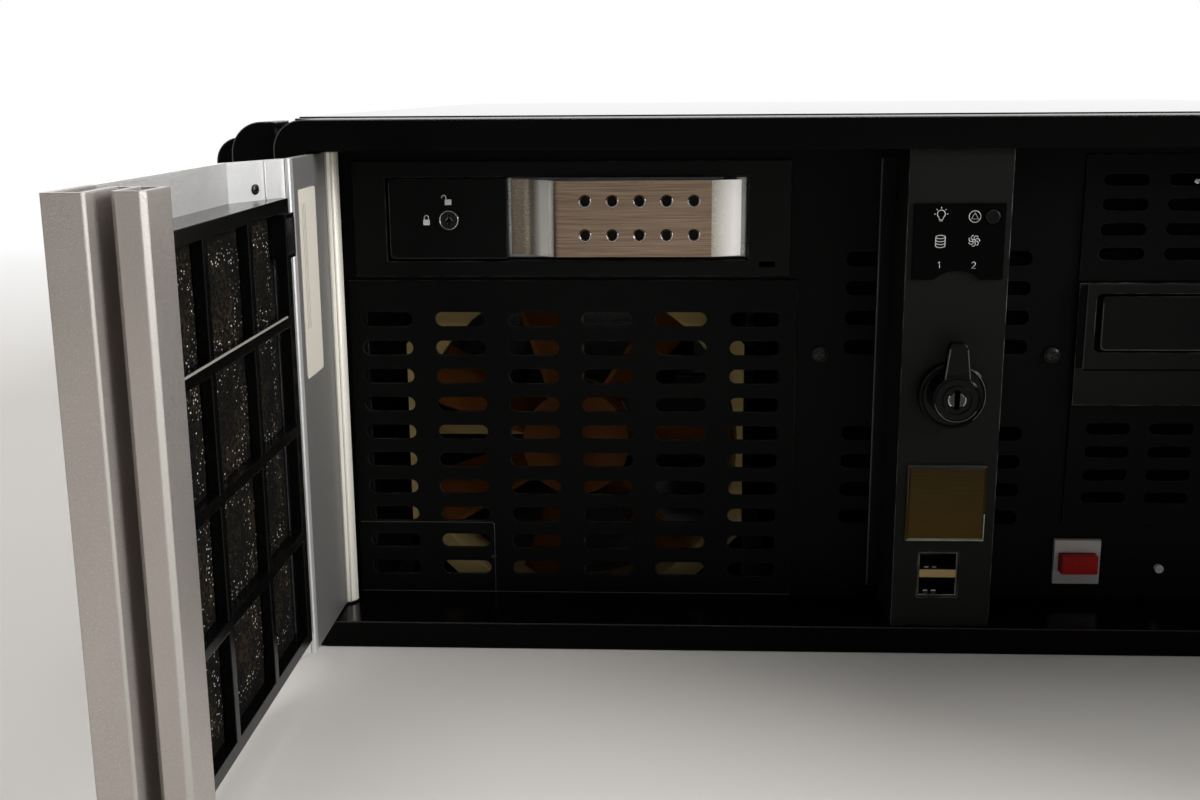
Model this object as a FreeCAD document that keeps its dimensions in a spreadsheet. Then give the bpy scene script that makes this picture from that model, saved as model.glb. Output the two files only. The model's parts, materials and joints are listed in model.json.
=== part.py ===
import FreeCAD, Part
import os
import re
import Sketcher

# A 4U rackmount computer. Millimetres, X to the right seen from the front, Y to the back, Z up.
# The origin is on the underside, at mid width, in the plane of the rack ears' rear faces.

SIZES = {
    # Rack and body
    "rack_width": 482.6,
    "ear_reach": 26.9,
    "body_depth": 450.0,
    "frame_rise": 0.8,
    "sheet_steel": 1.2,
    "tray_flange": 9.0,
    "cover_lip": 12.0,
    "ear_thickness": 2.0,
    "ear_leg": 60.0,
    "ear_low": 6.0,
    "ear_drop": 6.0,
    "ear_corner": 8.0,
    "rack_hole_inset": 8.75,
    "rack_hole_pitch": 101.6,
    "rack_hole_radius": 3.4,
    "rack_slot_length": 8.4,
    # Front frame
    "frame_lap": 2.1,
    "frame_height": 177.0,
    "frame_reach": 22.0,
    "frame_corner": 9.5,
    "frame_lip": 10.1,
    "frame_top_lip": 10.0,
    "frame_sill": 9.0,
    "frame_lip_depth": 8.0,
    "frame_side_wall": 4.0,
    "panel_setback": 8.5,
    "cheek_reach": 20.0,
    "cheek_width": 14.0,
    "cheek_waist": 6.0,
    "cheek_lobe": 24.0,
    "cheek_ease": 8.0,
    "cheek_corner": 10.0,
    "cheek_low": 1.0,
    "cheek_drop": 0.6,
    # Doors
    "hinge_inset": 12.0,
    "hinge_forward": 2.0,
    "hinge_bar_radius": 3.7,
    "hinge_pin_radius": 1.5,
    "hinge_pin_length": 9.0,
    "running_gap": 0.05,
    "door_clearance": 0.75,
    "door_sheet": 1.8,
    "leaf_end": 46.0,
    "leaf_back": 1.4,
    "slant_end": 73.0,
    "door_edge_gap": 1.25,
    "skin_offset": 12.5,
    "return_depth": 9.0,
    "rail_setback": 18.8,
    "rail_overhang": 4.0,
    "rail_low": 0.1,
    "rail_width": 7.4,
    "rail_wall": 1.5,
    "rail_chamfer": 1.2,
    "return_chamfer": 0.6,
    "filter_start": 52.0,
    "filter_face": 0.5,
    "filter_low": 15.5,
    "filter_drop": 22.0,
    "filter_wall": 4.0,
    "filter_grid": 3.0,
    "filter_rib": 3.2,
    "filter_gap": 0.3,
    "filter_tab_width": 9.0,
    "filter_tab_height": 13.0,
    "filter_tab_proud": 2.0,
    # Centre pillar
    "pillar_width": 32.5,
    "pillar_recess": 2.0,
    "pillar_wall": 1.5,
    "window_width": 28.5,
    "window_height": 24.0,
    "window_drop": 40.9,
    "window_thickness": 0.8,
    "window_notch": 10.5,
    "window_notch_rise": 2.8,
    "alarm_button_x": 10.1,
    "alarm_button_rise": 19.9,
    "alarm_button_radius": 2.2,
    "alarm_button_length": 4.0,
    "button_gap": 0.2,
    "lock_rise": 0.5,
    "lock_hole_radius": 8.5,
    "collar_radius": 10.8,
    "collar_proud": 4.2,
    "collar_depth": 12.0,
    "latch_radius": 7.6,
    "latch_shaft": 5.0,
    "latch_proud": 5.5,
    "latch_wing": 18.0,
    "latch_root": 9.6,
    "latch_tip": 5.4,
    "latch_wing_depth": 4.2,
    "keyway_width": 1.6,
    "keyway_length": 6.0,
    "keyway_depth": 6.0,
    "badge_size": 25.7,
    "badge_z": 52.2,
    "badge_thickness": 1.8,
    "badge_bevel": 1.0,
    "usb_width": 13.4,
    "usb_height": 15.8,
    "usb_x": -1.3,
    "usb_low": 19.2,
    "usb_depth": 18.0,
    "usb_shell": 0.7,
    "usb_deck": 1.6,
    "usb_tongue": 2.0,
    "usb_tongue_depth": 9.0,
    # Bays
    "bay_inner": 50.4,
    "bay_outer": 8.0,
    "bay_shift": 3.9,
    "bay_overlap": 0.8,
    "bay_head": 3.0,
    "bay_low": 36.8,
    "bay_bezel_gap": 0.2,
    "cover_fold": 12.0,
    "cover_slot_length": 15.0,
    "cover_slot_height": 4.0,
    "cover_slot_first": 13.4,
    "cover_slot_low": 9.3,
    "cover_slot_last": 27.6,
    "cover_slot_top": 8.5,
    "cover_slot_columns": 6,
    "cover_slot_rows": 4,
    "bracket_setback": 6.0,
    "bracket_room": 32.3,
    "bracket_foot": 8.0,
    "bracket_gap": 0.3,
    # Fan grille and panel slots
    "grille_overlap": 3.0,
    "grille_low": 9.2,
    "grille_top_gap": 1.2,
    "grille_slot_length": 17.4,
    "grille_slot_height": 5.0,
    "grille_slot_first": 13.0,
    "grille_slot_low": 9.4,
    "grille_slot_last": 14.0,
    "grille_slot_top": 13.6,
    "grille_slot_columns": 6,
    "grille_slot_rows": 10,
    "grille_border": 6.0,
    "side_slot_length": 15.0,
    "side_slot_x": 23.5,
    "side_slot_low": 38.2,
    "side_slot_rise_first": 10.0,
    "side_slot_rise": 10.1,
    "side_slot_rows": 4,
    "panel_screw_x": 39.2,
    "panel_screw_rise": 8.0,
    "panel_screw_radius": 2.6,
    "panel_screw_head": 1.4,
    # Drive rack
    "rack_head": 4.6,
    "rack_bezel_height": 39.0,
    "rack_bezel_proud": 1.6,
    "rack_sleeve": 14.0,
    "rack_mouth_left": 11.2,
    "rack_mouth_right": 14.0,
    "rack_mouth_low": 5.4,
    "rack_mouth_high": 5.4,
    "bezel_slot_width": 5.4,
    "bezel_slot_height": 1.9,
    "bezel_slot_right": 4.9,
    "bezel_slot_rise": 3.3,
    "rack_cage_depth": 165.0,
    "rack_cage_wall": 1.0,
    "backplane_thickness": 1.6,
    "tray_gap": 0.5,
    "tray_face_setback": 0.4,
    "tray_wall_setback": 5.5,
    "tray_wall": 2.0,
    "tray_face_gap": 1.2,
    "tray_floor": 1.0,
    "tray_length": 150.0,
    "tray_rail": 3.0,
    "tray_rail_height": 18.0,
    "disk_side_room": 10.1,
    "disk_height": 25.4,
    "disk_length": 146.0,
    "key_shift": 0.45,
    "key_rise": 19.2,
    "key_radius": 3.4,
    "handle_length": 78.0,
    "handle_bend": 14.9,
    "handle_turn": 10.0,
    "handle_inset": 2.6,
    "handle_rise": 7.3,
    "handle_height": 25.5,
    "handle_front": 1.9,
    "handle_end": 5.9,
    "handle_root": 11.2,
    "handle_curl": 5.5,
    "handle_sheet": 2.0,
    "handle_hole_radius": 1.5,
    "handle_sink_radius": 2.2,
    "handle_hole_start": 25.7,
    "handle_hole_pitch": 9.1,
    "handle_hole_drop": 7.2,
    "handle_hole_rise": 11.4,
    "handle_pin_inset": 3.5,
    "handle_pin_y": 9.5,
    "handle_pin_radius": 1.0,
    "handle_barrel_radius": 2.4,
    "handle_lug_radius": 2.1,
    "handle_lug_height": 5.0,
    # Disc drive
    "disc_bezel_proud": 2.9,
    "disc_drive_length": 170.0,
    "disc_drive_gap": 0.7,
    "disc_mouth_left": 5.9,
    "disc_mouth_low": 18.5,
    "disc_mouth_top": 3.9,
    "disc_corner": 2.0,
    "disc_gap": 0.3,
    "disc_fascia_left": 1.9,
    "disc_fascia_low": 0.7,
    "disc_wall": 1.0,
    "disc_fascia_proud": 0.6,
    "disc_fascia": 2.0,
    "disc_tray_inset": 4.0,
    "disc_tray_low": 6.0,
    "disc_tray_height": 6.0,
    "disc_tray_length": 145.0,
    "disc_well_radius": 60.5,
    "disc_well_depth": 3.0,
    "eject_inset": 18.5,
    "eject_rise": 8.0,
    "eject_width": 12.0,
    "eject_height": 4.4,
    "eject_length": 4.0,
    "eject_travel": 1.0,
    # Buttons and lamp
    "switch_size": 16.0,
    "switch_proud": 2.0,
    "switch_z": 22.7,
    "reset_x": 52.3,
    "power_x": 110.0,
    "cap_width": 12.4,
    "cap_height": 6.4,
    "cap_proud": 3.9,
    "cap_travel": 1.5,
    "cap_length": 9.0,
    "lamp_x": 81.2,
    "lamp_z": 20.1,
    "lamp_radius": 1.5,
    "lamp_length": 6.0,
    # Fans
    "front_fan_room": 3.4,
    "rear_fan_room": 10.2,
    "cooler_fan": 80.0,
    "supply_fan": 60.0,
    "fan_depth": 25.0,
    "front_fan_setback": 20.0,
    "fan_wall": 2.2,
    "fan_hub_share": 0.32,
    "fan_tip_gap": 1.2,
    "fan_end_gap": 1.0,
    "fan_boss": 3.0,
    "fan_shaft_radius": 1.5,
    "fan_strut": 4.0,
    "fan_blade_sheet": 1.6,
    "fan_blades": 7,
    "hub_bite_share": 0.95,
    "blade_root_share": 0.55,
    "blade_tip_share": 0.95,
    "fan_hole_radius": 2.2,
    "fan_hole_inset": 7.5,
    "rear_fan_gap": 2.0,
    "rear_fan_head": 5.2,
    # Board
    "board_side_gap": 23.2,
    "board_size": 244.0,
    "board_setback": 4.0,
    "board_sheet": 1.6,
    "standoff_height": 6.5,
    "standoff_radius": 2.6,
    "standoff_inset": 8.0,
    "port_block_height": 34.0,
    "port_block_depth": 18.0,
    "port_first_share": 0.06,
    "port_pitch_share": 0.235,
    "port_width_share": 0.18,
    "port_low_share": 0.5,
    "shield_inset": 165.0,
    "shield_width": 158.8,
    "shield_height": 44.4,
    "shield_drop": 2.2,
    "shield_sheet": 0.6,
    "slot_inset": 8.0,
    "slot_pitch": 20.3,
    "slot_opening": 14.0,
    "slot_bracket": 18.4,
    "slot_low": 15.0,
    "slot_high": 118.0,
    "slot_bracket_margin": 4.0,
    "card_length": 165.0,
    "card_height": 96.0,
    "socket_height": 9.0,
    "socket_width": 7.5,
    "socket_length": 90.0,
    "memory_inset": 74.0,
    "memory_setback": 23.0,
    "memory_pitch": 9.5,
    "memory_length": 133.0,
    "memory_height": 30.0,
    "memory_sheet": 3.0,
    "cooler_inset": 84.0,
    "cooler_setback": 6.0,
    "cooler_base": 42.0,
    "cooler_base_height": 9.0,
    "cooler_socket": 5.0,
    "cooler_width": 92.0,
    "cooler_depth": 48.0,
    "cooler_fin": 0.8,
    "cooler_fin_pitch": 6.0,
    "cooler_fins": 13,
    "cooler_first_fin": 30.0,
    "cooler_pipe_radius": 3.0,
    "cooler_pipe_spread": 28.0,
    # Power supply
    "supply_board_gap": 6.5,
    "supply_side_gap": 2.7,
    "supply_height": 86.0,
    "supply_length": 140.0,
    "supply_sheet": 1.0,
    "supply_fan_inset": 3.5,
    "supply_margin": 4.0,
    "inlet_inset": 17.0,
    "inlet_z": 28.0,
    "inlet_width": 27.0,
    "inlet_height": 20.0,
    "inlet_depth": 18.0,
    "inlet_wall": 2.0,
    "inlet_pin": 4.0,
    "inlet_pin_sheet": 2.0,
    "inlet_pin_pitch": 7.0,
    "rocker_z": 60.0,
    "rocker_width": 19.0,
    "rocker_height": 13.0,
    "rocker_depth": 12.0,
    "rocker_wall": 1.5,
    "rocker_gap": 0.4,
    "rocker_crown": 2.2,
    # How far a cutting tool reaches past the piece it cuts
    "overcut": 1.0,
}

# Sizes and places that follow from the driving sizes
FOLLOWING = {
    "body_width": "rack_width - 2 * ear_reach",
    "body_height": "frame_height - frame_rise",
    "ear_high": "frame_height - ear_drop",
    "rack_hole_span": "rack_width - 2 * rack_hole_inset",
    "rack_hole_low": "(frame_height - rack_hole_pitch) / 2",
    "frame_width": "body_width + 2 * frame_lap",
    "frame_top": "frame_height - frame_top_lip",
    "cheek_high": "frame_height - cheek_drop",
    "hinge_half_span": "frame_width / 2 - hinge_inset",
    "skin_end": "hinge_half_span - pillar_width / 2 - door_edge_gap",
    "rail_start": "skin_end - rail_setback",
    "rail_end": "skin_end - rail_overhang",
    "filter_high": "frame_height - filter_drop",
    "window_low": "frame_top - window_drop",
    "alarm_button_z": "window_low + alarm_button_rise",
    "lock_z": "frame_height / 2 + lock_rise",
    "panel_screw_z": "frame_height / 2 + panel_screw_rise",
    "side_slot_high": "lock_z + side_slot_rise_first",
    "bay_width": "frame_width / 2 - frame_lip - bay_inner - bay_outer",
    "bay_left": "-bay_inner - bay_width / 2",
    "bay_right": "bay_inner - bay_shift + bay_width / 2",
    "bay_pitch": "(frame_top - bay_head - bay_low) / 3",
    "cover_slot_pitch": "(bay_width - cover_slot_first - cover_slot_last) / (cover_slot_columns - 1)",
    "cover_slot_rise": "(bay_pitch - cover_slot_low - cover_slot_top) / (cover_slot_rows - 1)",
    "bracket_depth": "board_front - bracket_room - panel_setback - sheet_steel",
    "grille_width": "bay_width + 2 * grille_overlap",
    "grille_high": "rack_bezel_low - grille_top_gap",
    "grille_slot_pitch": "(grille_width - grille_slot_first - grille_slot_last) / (grille_slot_columns - 1)",
    "grille_slot_span": "grille_high - grille_low - grille_slot_low - grille_slot_top",
    "grille_slot_rise": "grille_slot_span / (grille_slot_rows - 1)",
    "rack_bezel_low": "frame_top - rack_head - rack_bezel_height",
    "mouth_left": "bay_left - bay_width / 2 + rack_mouth_left",
    "mouth_right": "bay_left + bay_width / 2 - rack_mouth_right",
    "handle_right": "mouth_right - handle_inset",
    "handle_left": "handle_right - handle_length",
    "handle_flat_left": "handle_left + handle_bend",
    "handle_flat_right": "handle_right - handle_turn",
    "handle_low": "rack_bezel_low + handle_rise",
    "handle_high": "handle_low + handle_height",
    "handle_hole_first": "handle_left + handle_hole_start",
    "handle_hole_low": "handle_low + handle_hole_drop",
    "handle_pin_x": "handle_right - handle_pin_inset",
    "tray_left": "mouth_left + tray_gap",
    "tray_right": "mouth_right - tray_gap",
    "tray_face_width": "handle_left - tray_left - tray_face_gap",
    "key_x": "tray_left + tray_face_width / 2 + key_shift",
    "key_z": "rack_bezel_low + key_rise",
    "disk_width": "tray_right - tray_left - 2 * disk_side_room",
    "disc_drive_height": "bay_pitch - 2 * disc_drive_gap",
    "disc_mouth_height": "bay_pitch - disc_mouth_low - disc_mouth_top",
    "eject_x": "bay_right + bay_width / 2 - eject_inset",
    "front_fan": "rack_bezel_low - front_fan_room",
    "rear_fan": "body_height - supply_height - rear_fan_room",
    "rear_fan_left": "-rear_fan / 2 - rear_fan_gap",
    "rear_fan_right": "rear_fan / 2 + rear_fan_gap",
    "rear_fan_z": "body_height - rear_fan_head - rear_fan / 2",
    "board_left": "board_side_gap + sheet_steel - body_width / 2",
    "board_right": "board_left + board_size",
    "board_back": "body_depth - board_setback",
    "board_front": "board_back - board_size",
    "shield_left": "board_right - shield_inset",
    "slot_first": "board_left + slot_inset",
    "memory_x": "board_right - memory_inset",
    "memory_y": "board_front + memory_setback",
    "cooler_x": "board_right - cooler_inset",
    "cooler_y": "board_front + board_size / 2 + cooler_setback",
    "supply_left": "board_right + supply_board_gap",
    "supply_right": "body_width / 2 - sheet_steel - supply_side_gap",
    "supply_fan_x": "supply_right - supply_fan_inset - supply_fan / 2",
    "inlet_x": "supply_left + inlet_inset",
    "rocker_x": "inlet_x",
}

X_AXIS = FreeCAD.Vector(1, 0, 0)
Y_AXIS = FreeCAD.Vector(0, 1, 0)
Z_AXIS = FreeCAD.Vector(0, 0, 1)
ALONG = {
    "x": FreeCAD.Rotation(Y_AXIS, 90),
    "y": FreeCAD.Rotation(X_AXIS, -90),
    "z": FreeCAD.Rotation(),
}

doc = FreeCAD.newDocument("RackComputer")
sheet = doc.addObject("Spreadsheet::Sheet", "Sizes")
for row, (alias, number) in enumerate(SIZES.items(), start=1):
    sheet.set("A%d" % row, alias)
    sheet.set("B%d" % row, str(number))
    sheet.setAlias("B%d" % row, alias)
doc.recompute()

nodes = {}


def formula(text):
    """Spell a formula of size names as an expression on the sheet."""

    def spell(word):
        if word.group() in FOLLOWING:
            return "(%s)" % formula(FOLLOWING[word.group()])
        return "Sizes." + word.group()

    return re.sub(r"[a-z]\w+", spell, text)


def node(name, piece):
    """Name a finished sub-part."""
    piece.Label = name
    nodes[name] = piece
    return piece


def place(piece, **formulas):
    """Bind a piece's position to formulas."""
    for axis, text in formulas.items():
        piece.setExpression("Placement.Base." + axis, formula(text))


def box(name, x, y, z):
    """A block between a low and a high formula along each axis."""
    block = doc.addObject("Part::Box", name)
    for size, axis, (low, high) in zip(("Length", "Width", "Height"), "xyz", (x, y, z)):
        block.setExpression(size, formula("(%s) - (%s)" % (high, low)))
        block.setExpression("Placement.Base." + axis, formula(low))
    return block


def centred(middle, width):
    """The low and high formulas of a width about a middle."""
    return "%s - (%s) / 2" % (middle, width), "%s + (%s) / 2" % (middle, width)


def rod(name, axis, across, radius, span):
    """A cylinder along an axis: its other two coordinates, radius, and low and high end."""
    cylinder = doc.addObject("Part::Cylinder", name)
    cylinder.setExpression("Radius", formula(radius))
    cylinder.setExpression("Height", formula("(%s) - (%s)" % (span[1], span[0])))
    cylinder.Placement.Rotation = ALONG[axis]
    coordinates = list(across)
    coordinates.insert("xyz".index(axis), span[0])
    for letter, text in zip("xyz", coordinates):
        cylinder.setExpression("Placement.Base." + letter, formula(text))
    return cylinder


def join(name, *pieces):
    """Pieces fused into one solid."""
    fused = doc.addObject("Part::MultiFuse", name)
    fused.Shapes = list(pieces)
    fused.Refine = True
    return fused


def group(name, pieces):
    """Separate solids kept in one sub-part."""
    together = doc.addObject("Part::Compound", name)
    together.Links = list(pieces)
    return together


def cut(name, base, *tools):
    """A base with tools taken away."""
    result = doc.addObject("Part::Cut", name)
    result.Base = base
    result.Tool = tools[0] if len(tools) == 1 else group(name + "Tools", tools)
    result.Refine = True
    return result


def mirrored(name, source):
    """The same piece on the other side of the middle plane."""
    twin = doc.addObject("Part::Mirroring", name)
    twin.Source = source
    twin.Normal = X_AXIS
    return twin


def origin_plane(body, role):
    """One of a body's own planes."""
    return next(plane for plane in body.Origin.OriginFeatures if plane.Role == role)


def outline(body, name, plane, points, offset=None):
    """A closed sketch of straight lines through formula pairs, on a plane of the body."""
    sketch = body.newObject("Sketcher::SketchObject", name)
    sketch.AttachmentSupport = [(origin_plane(body, plane + "_Plane"), "")]
    sketch.MapMode = "FlatFace"
    if offset:
        sketch.setExpression("AttachmentOffset.Base.z", formula(offset))
    count = len(points)
    for index in range(count):
        start = FreeCAD.Vector(index, index * index, 0)
        follow = (index + 1) % count
        end = FreeCAD.Vector(follow, follow * follow, 0)
        sketch.addGeometry(Part.LineSegment(start, end), False)
    for index in range(count):
        sketch.addConstraint(Sketcher.Constraint("Coincident", index, 2, (index + 1) % count, 1))
    for index, (across, along) in enumerate(points):
        for kind, first, text in (("DistanceX", index, across), ("DistanceY", index * index, along)):
            number = sketch.addConstraint(Sketcher.Constraint(kind, -1, 1, index, 1, first))
            sketch.setExpression("Constraints[%d]" % number, formula(text))
    return sketch


def circle(body, name, plane, across, along, radius, offset=None):
    """A sketch of one circle on a plane of the body."""
    sketch = body.newObject("Sketcher::SketchObject", name)
    sketch.AttachmentSupport = [(origin_plane(body, plane + "_Plane"), "")]
    sketch.MapMode = "FlatFace"
    if offset:
        sketch.setExpression("AttachmentOffset.Base.z", formula(offset))
    sketch.addGeometry(Part.Circle(FreeCAD.Vector(1, 1, 0), Z_AXIS, 1), False)
    for constraint, text in (
        (Sketcher.Constraint("DistanceX", -1, 1, 0, 3, 1), across),
        (Sketcher.Constraint("DistanceY", -1, 1, 0, 3, 1), along),
        (Sketcher.Constraint("Radius", 0, 1), radius),
    ):
        number = sketch.addConstraint(constraint)
        sketch.setExpression("Constraints[%d]" % number, formula(text))
    return sketch


def obround(body, name, plane, middle, length, height):
    """A sketch of one slot with round ends, lying along the plane's first axis."""
    sketch = body.newObject("Sketcher::SketchObject", name)
    sketch.AttachmentSupport = [(origin_plane(body, plane + "_Plane"), "")]
    sketch.MapMode = "FlatFace"
    quarter = FreeCAD.Units.parseQuantity("90 deg").getValueAs("rad").Value
    ends = (FreeCAD.Vector(-4, 0, 0), FreeCAD.Vector(4, 0, 0))
    left = Part.Circle(ends[0], Z_AXIS, 2)
    right = Part.Circle(ends[1], Z_AXIS, 2)
    rise = FreeCAD.Vector(0, 2, 0)
    sketch.addGeometry(Part.ArcOfCircle(left, quarter, 3 * quarter), False)
    sketch.addGeometry(Part.LineSegment(ends[0] - rise, ends[1] - rise), False)
    sketch.addGeometry(Part.ArcOfCircle(right, -quarter, quarter), False)
    sketch.addGeometry(Part.LineSegment(ends[1] + rise, ends[0] + rise), False)
    for first, second in ((0, 1), (1, 2), (2, 3), (3, 0)):
        sketch.addConstraint(Sketcher.Constraint("Tangent", first, 2, second, 1))
    sketch.addConstraint(Sketcher.Constraint("Equal", 0, 2))
    sketch.addConstraint(Sketcher.Constraint("Horizontal", 1))
    first_end = "%s - (%s - %s) / 2" % (middle[0], length, height)
    for constraint, text in (
        (Sketcher.Constraint("Radius", 0, 2), "(%s) / 2" % height),
        (Sketcher.Constraint("DistanceX", -1, 1, 0, 3, -4), first_end),
        (Sketcher.Constraint("DistanceY", -1, 1, 0, 3, 1), middle[1]),
        (Sketcher.Constraint("DistanceX", 0, 3, 2, 3, 8), "%s - %s" % (length, height)),
    ):
        number = sketch.addConstraint(constraint)
        sketch.setExpression("Constraints[%d]" % number, formula(text))
    return sketch


def pad(body, sketch, length):
    """A sketch made solid. From the XZ plane it grows towards +Y."""
    feature = body.newObject("PartDesign::Pad", sketch.Name + "Pad")
    feature.Profile = sketch
    feature.setExpression("Length", formula(length))
    feature.Reversed = "XZ_Plane" in sketch.AttachmentSupport[0][0].Role
    return feature


def pocket_through(body, sketch):
    """A sketch cut right through the body."""
    feature = body.newObject("PartDesign::Pocket", sketch.Name + "Pocket")
    feature.Profile = sketch
    feature.Type = "ThroughAll"
    feature.Midplane = True
    return feature


def grid(body, feature, columns, rows):
    """A feature repeated in columns and rows, each a pitch and a count."""
    pattern = body.newObject("PartDesign::MultiTransform", feature.Name + "Grid")
    steps = []
    for axis, (pitch, count) in (("H_Axis", columns), ("V_Axis", rows)):
        step = doc.addObject("PartDesign::LinearPattern", feature.Name + axis)
        step.Direction = (feature.Profile[0], [axis])
        step.Mode = "Spacing"
        step.setExpression("Offset", formula(pitch))
        step.setExpression("Occurrences", formula(count))
        steps.append(step)
    pattern.Originals = [feature]
    pattern.Transformations = steps
    body.Tip = pattern
    return pattern


def prism(name, plane, points, span, rounds=None):
    """A body padded from an outline over a span, with some of its corners rounded."""
    body = doc.addObject("PartDesign::Body", name)
    sketch = outline(body, name + "Outline", plane, points)
    feature = pad(body, sketch, "(%s) - (%s)" % (span[1], span[0]))
    place(body, **{{"XY": "z", "XZ": "y", "YZ": "x"}[plane]: span[0]})
    if rounds:
        doc.recompute()
        for radius, corners in rounds.items():
            feature = round_corners(body, feature, sketch, plane, corners, radius)
    return body


def round_corners(body, feature, sketch, plane, corners, radius):
    """Fillet the upright edges at numbered corners of an outline."""
    kept = {"XY": (0, 1), "XZ": (0, 2), "YZ": (1, 2)}[plane]
    wanted = [sketch.Geometry[corner].StartPoint for corner in corners]
    names = []
    for index, edge in enumerate(feature.Shape.Edges, start=1):
        ends = [vertex.Point for vertex in edge.Vertexes]
        for corner in wanted:
            near = [abs(end[kept[0]] - corner.x) + abs(end[kept[1]] - corner.y) < 1e-5 for end in ends]
            if len(ends) == 2 and all(near):
                names.append("Edge%d" % index)
    fillet = body.newObject("PartDesign::Fillet", body.Name + "Round")
    fillet.Base = (feature, names)
    fillet.setExpression("Radius", formula(radius))
    body.Tip = fillet
    doc.recompute()
    return fillet


def rectangle(x, z):
    """Four corners of a rectangle between low and high formulas."""
    return [(x[0], z[0]), (x[1], z[0]), (x[1], z[1]), (x[0], z[1])]


# Places that several sub-parts share
WALL = "body_width / 2"
INSIDE = "body_width / 2 - sheet_steel"
BACK = "body_depth - sheet_steel"
PANEL_BACK = "panel_setback + sheet_steel"
COVER_Y = ("panel_setback - sheet_steel", "panel_setback")
FRAME_TOP = "frame_top"
HINGE_X = "-hinge_half_span"
HINGE_Y = "-hinge_forward"
DOOR_Z = ("frame_sill + door_clearance", "frame_top - door_clearance")
PILLAR_FRONT = "pillar_recess - frame_reach"


def chassis():
    """Folded tray, lid, front and rear panels and rack ears."""
    side = [
        ("-body_width / 2", "0"),
        ("body_width / 2", "0"),
        ("body_width / 2", "body_height"),
        ("body_width / 2 - tray_flange", "body_height"),
        ("body_width / 2 - tray_flange", "body_height - sheet_steel"),
        (INSIDE, "body_height - sheet_steel"),
        (INSIDE, "sheet_steel"),
        ("sheet_steel - body_width / 2", "sheet_steel"),
        ("sheet_steel - body_width / 2", "body_height - sheet_steel"),
        ("tray_flange - body_width / 2", "body_height - sheet_steel"),
        ("tray_flange - body_width / 2", "body_height"),
        ("-body_width / 2", "body_height"),
    ]
    node("chassis_tray", prism("ChassisTray", "XZ", side, ("panel_setback", BACK)))
    lid = [
        ("-body_width / 2 - sheet_steel", "body_height - cover_lip"),
        ("-body_width / 2", "body_height - cover_lip"),
        ("-body_width / 2", "body_height"),
        ("body_width / 2", "body_height"),
        ("body_width / 2", "body_height - cover_lip"),
        ("body_width / 2 + sheet_steel", "body_height - cover_lip"),
        ("body_width / 2 + sheet_steel", "body_height + sheet_steel"),
        ("-body_width / 2 - sheet_steel", "body_height + sheet_steel"),
    ]
    node("top_cover", prism("TopCover", "XZ", lid, ("panel_setback", "body_depth")))
    front_panel()
    rear_panel()
    ears()


def front_panel():
    """The steel panel behind the doors, open behind the grille, the bays and the pillar's slots."""
    plate = rectangle(("sheet_steel - body_width / 2", INSIDE), ("sheet_steel", "body_height - sheet_steel"))
    body = prism("FrontPanel", "XZ", plate, ("panel_setback", PANEL_BACK))
    for name, middle, low in (
        ("SlotRightHigh", "side_slot_x", "side_slot_high"),
        ("SlotRightLow", "side_slot_x", "side_slot_low"),
        ("SlotLeftHigh", "-side_slot_x", "side_slot_high"),
        ("SlotLeftLow", "-side_slot_x", "side_slot_low"),
    ):
        sketch = obround(body, name, "XZ", (middle, low), "side_slot_length", "grille_slot_height")
        feature = pocket_through(body, sketch)
        pattern = body.newObject("PartDesign::LinearPattern", name + "Rows")
        pattern.Originals = [feature]
        pattern.Direction = (sketch, ["V_Axis"])
        pattern.Mode = "Spacing"
        pattern.setExpression("Offset", formula("side_slot_rise"))
        pattern.setExpression("Occurrences", formula("side_slot_rows"))
        body.Tip = pattern
    depth = ("panel_setback - overcut", PANEL_BACK + " + overcut")
    left = centred("bay_left", "bay_width - 2 * bay_overlap")
    right = centred("bay_right", "bay_width - 2 * bay_overlap")
    rack = ("rack_bezel_low + bay_overlap", "rack_bezel_low + rack_bezel_height - bay_overlap")
    air = centred("bay_left", "grille_width - 2 * grille_border")
    column = ("bay_low + bay_overlap", "bay_low + 3 * bay_pitch - bay_overlap")
    switch_z = centred("switch_z", "cap_height + 2 * button_gap")
    tools = [
        box("RackOpening", left, depth, rack),
        box("AirOpening", air, depth, ("grille_low + grille_border", "grille_high - grille_border")),
        box("BayOpening", right, depth, column),
        rod("LampHole", "y", ("lamp_x", "lamp_z"), "lamp_radius", depth),
        rod("ScrewHoleRight", "y", ("panel_screw_x", "panel_screw_z"), "panel_screw_radius / 2", depth),
        rod("ScrewHoleLeft", "y", ("-panel_screw_x", "panel_screw_z"), "panel_screw_radius / 2", depth),
    ]
    for name in ("reset", "power"):
        across = centred(name + "_x", "cap_width + 2 * button_gap")
        tools.append(box(name.title() + "Opening", across, depth, switch_z))
    node("front_panel", cut("FrontPanelCut", body, *tools))
    screws = []
    for name, middle in (("ScrewLeft", "-panel_screw_x"), ("ScrewRight", "panel_screw_x")):
        across = (middle, "panel_screw_z")
        head_y = ("panel_setback - panel_screw_head", "panel_setback")
        head = rod(name + "Head", "y", across, "panel_screw_radius", head_y)
        shank = rod(name + "Shank", "y", across, "panel_screw_radius / 2", ("panel_setback", PANEL_BACK))
        screws.append(join(name, head, shank))
    node("panel_screws", group("PanelScrews", screws))


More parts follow.
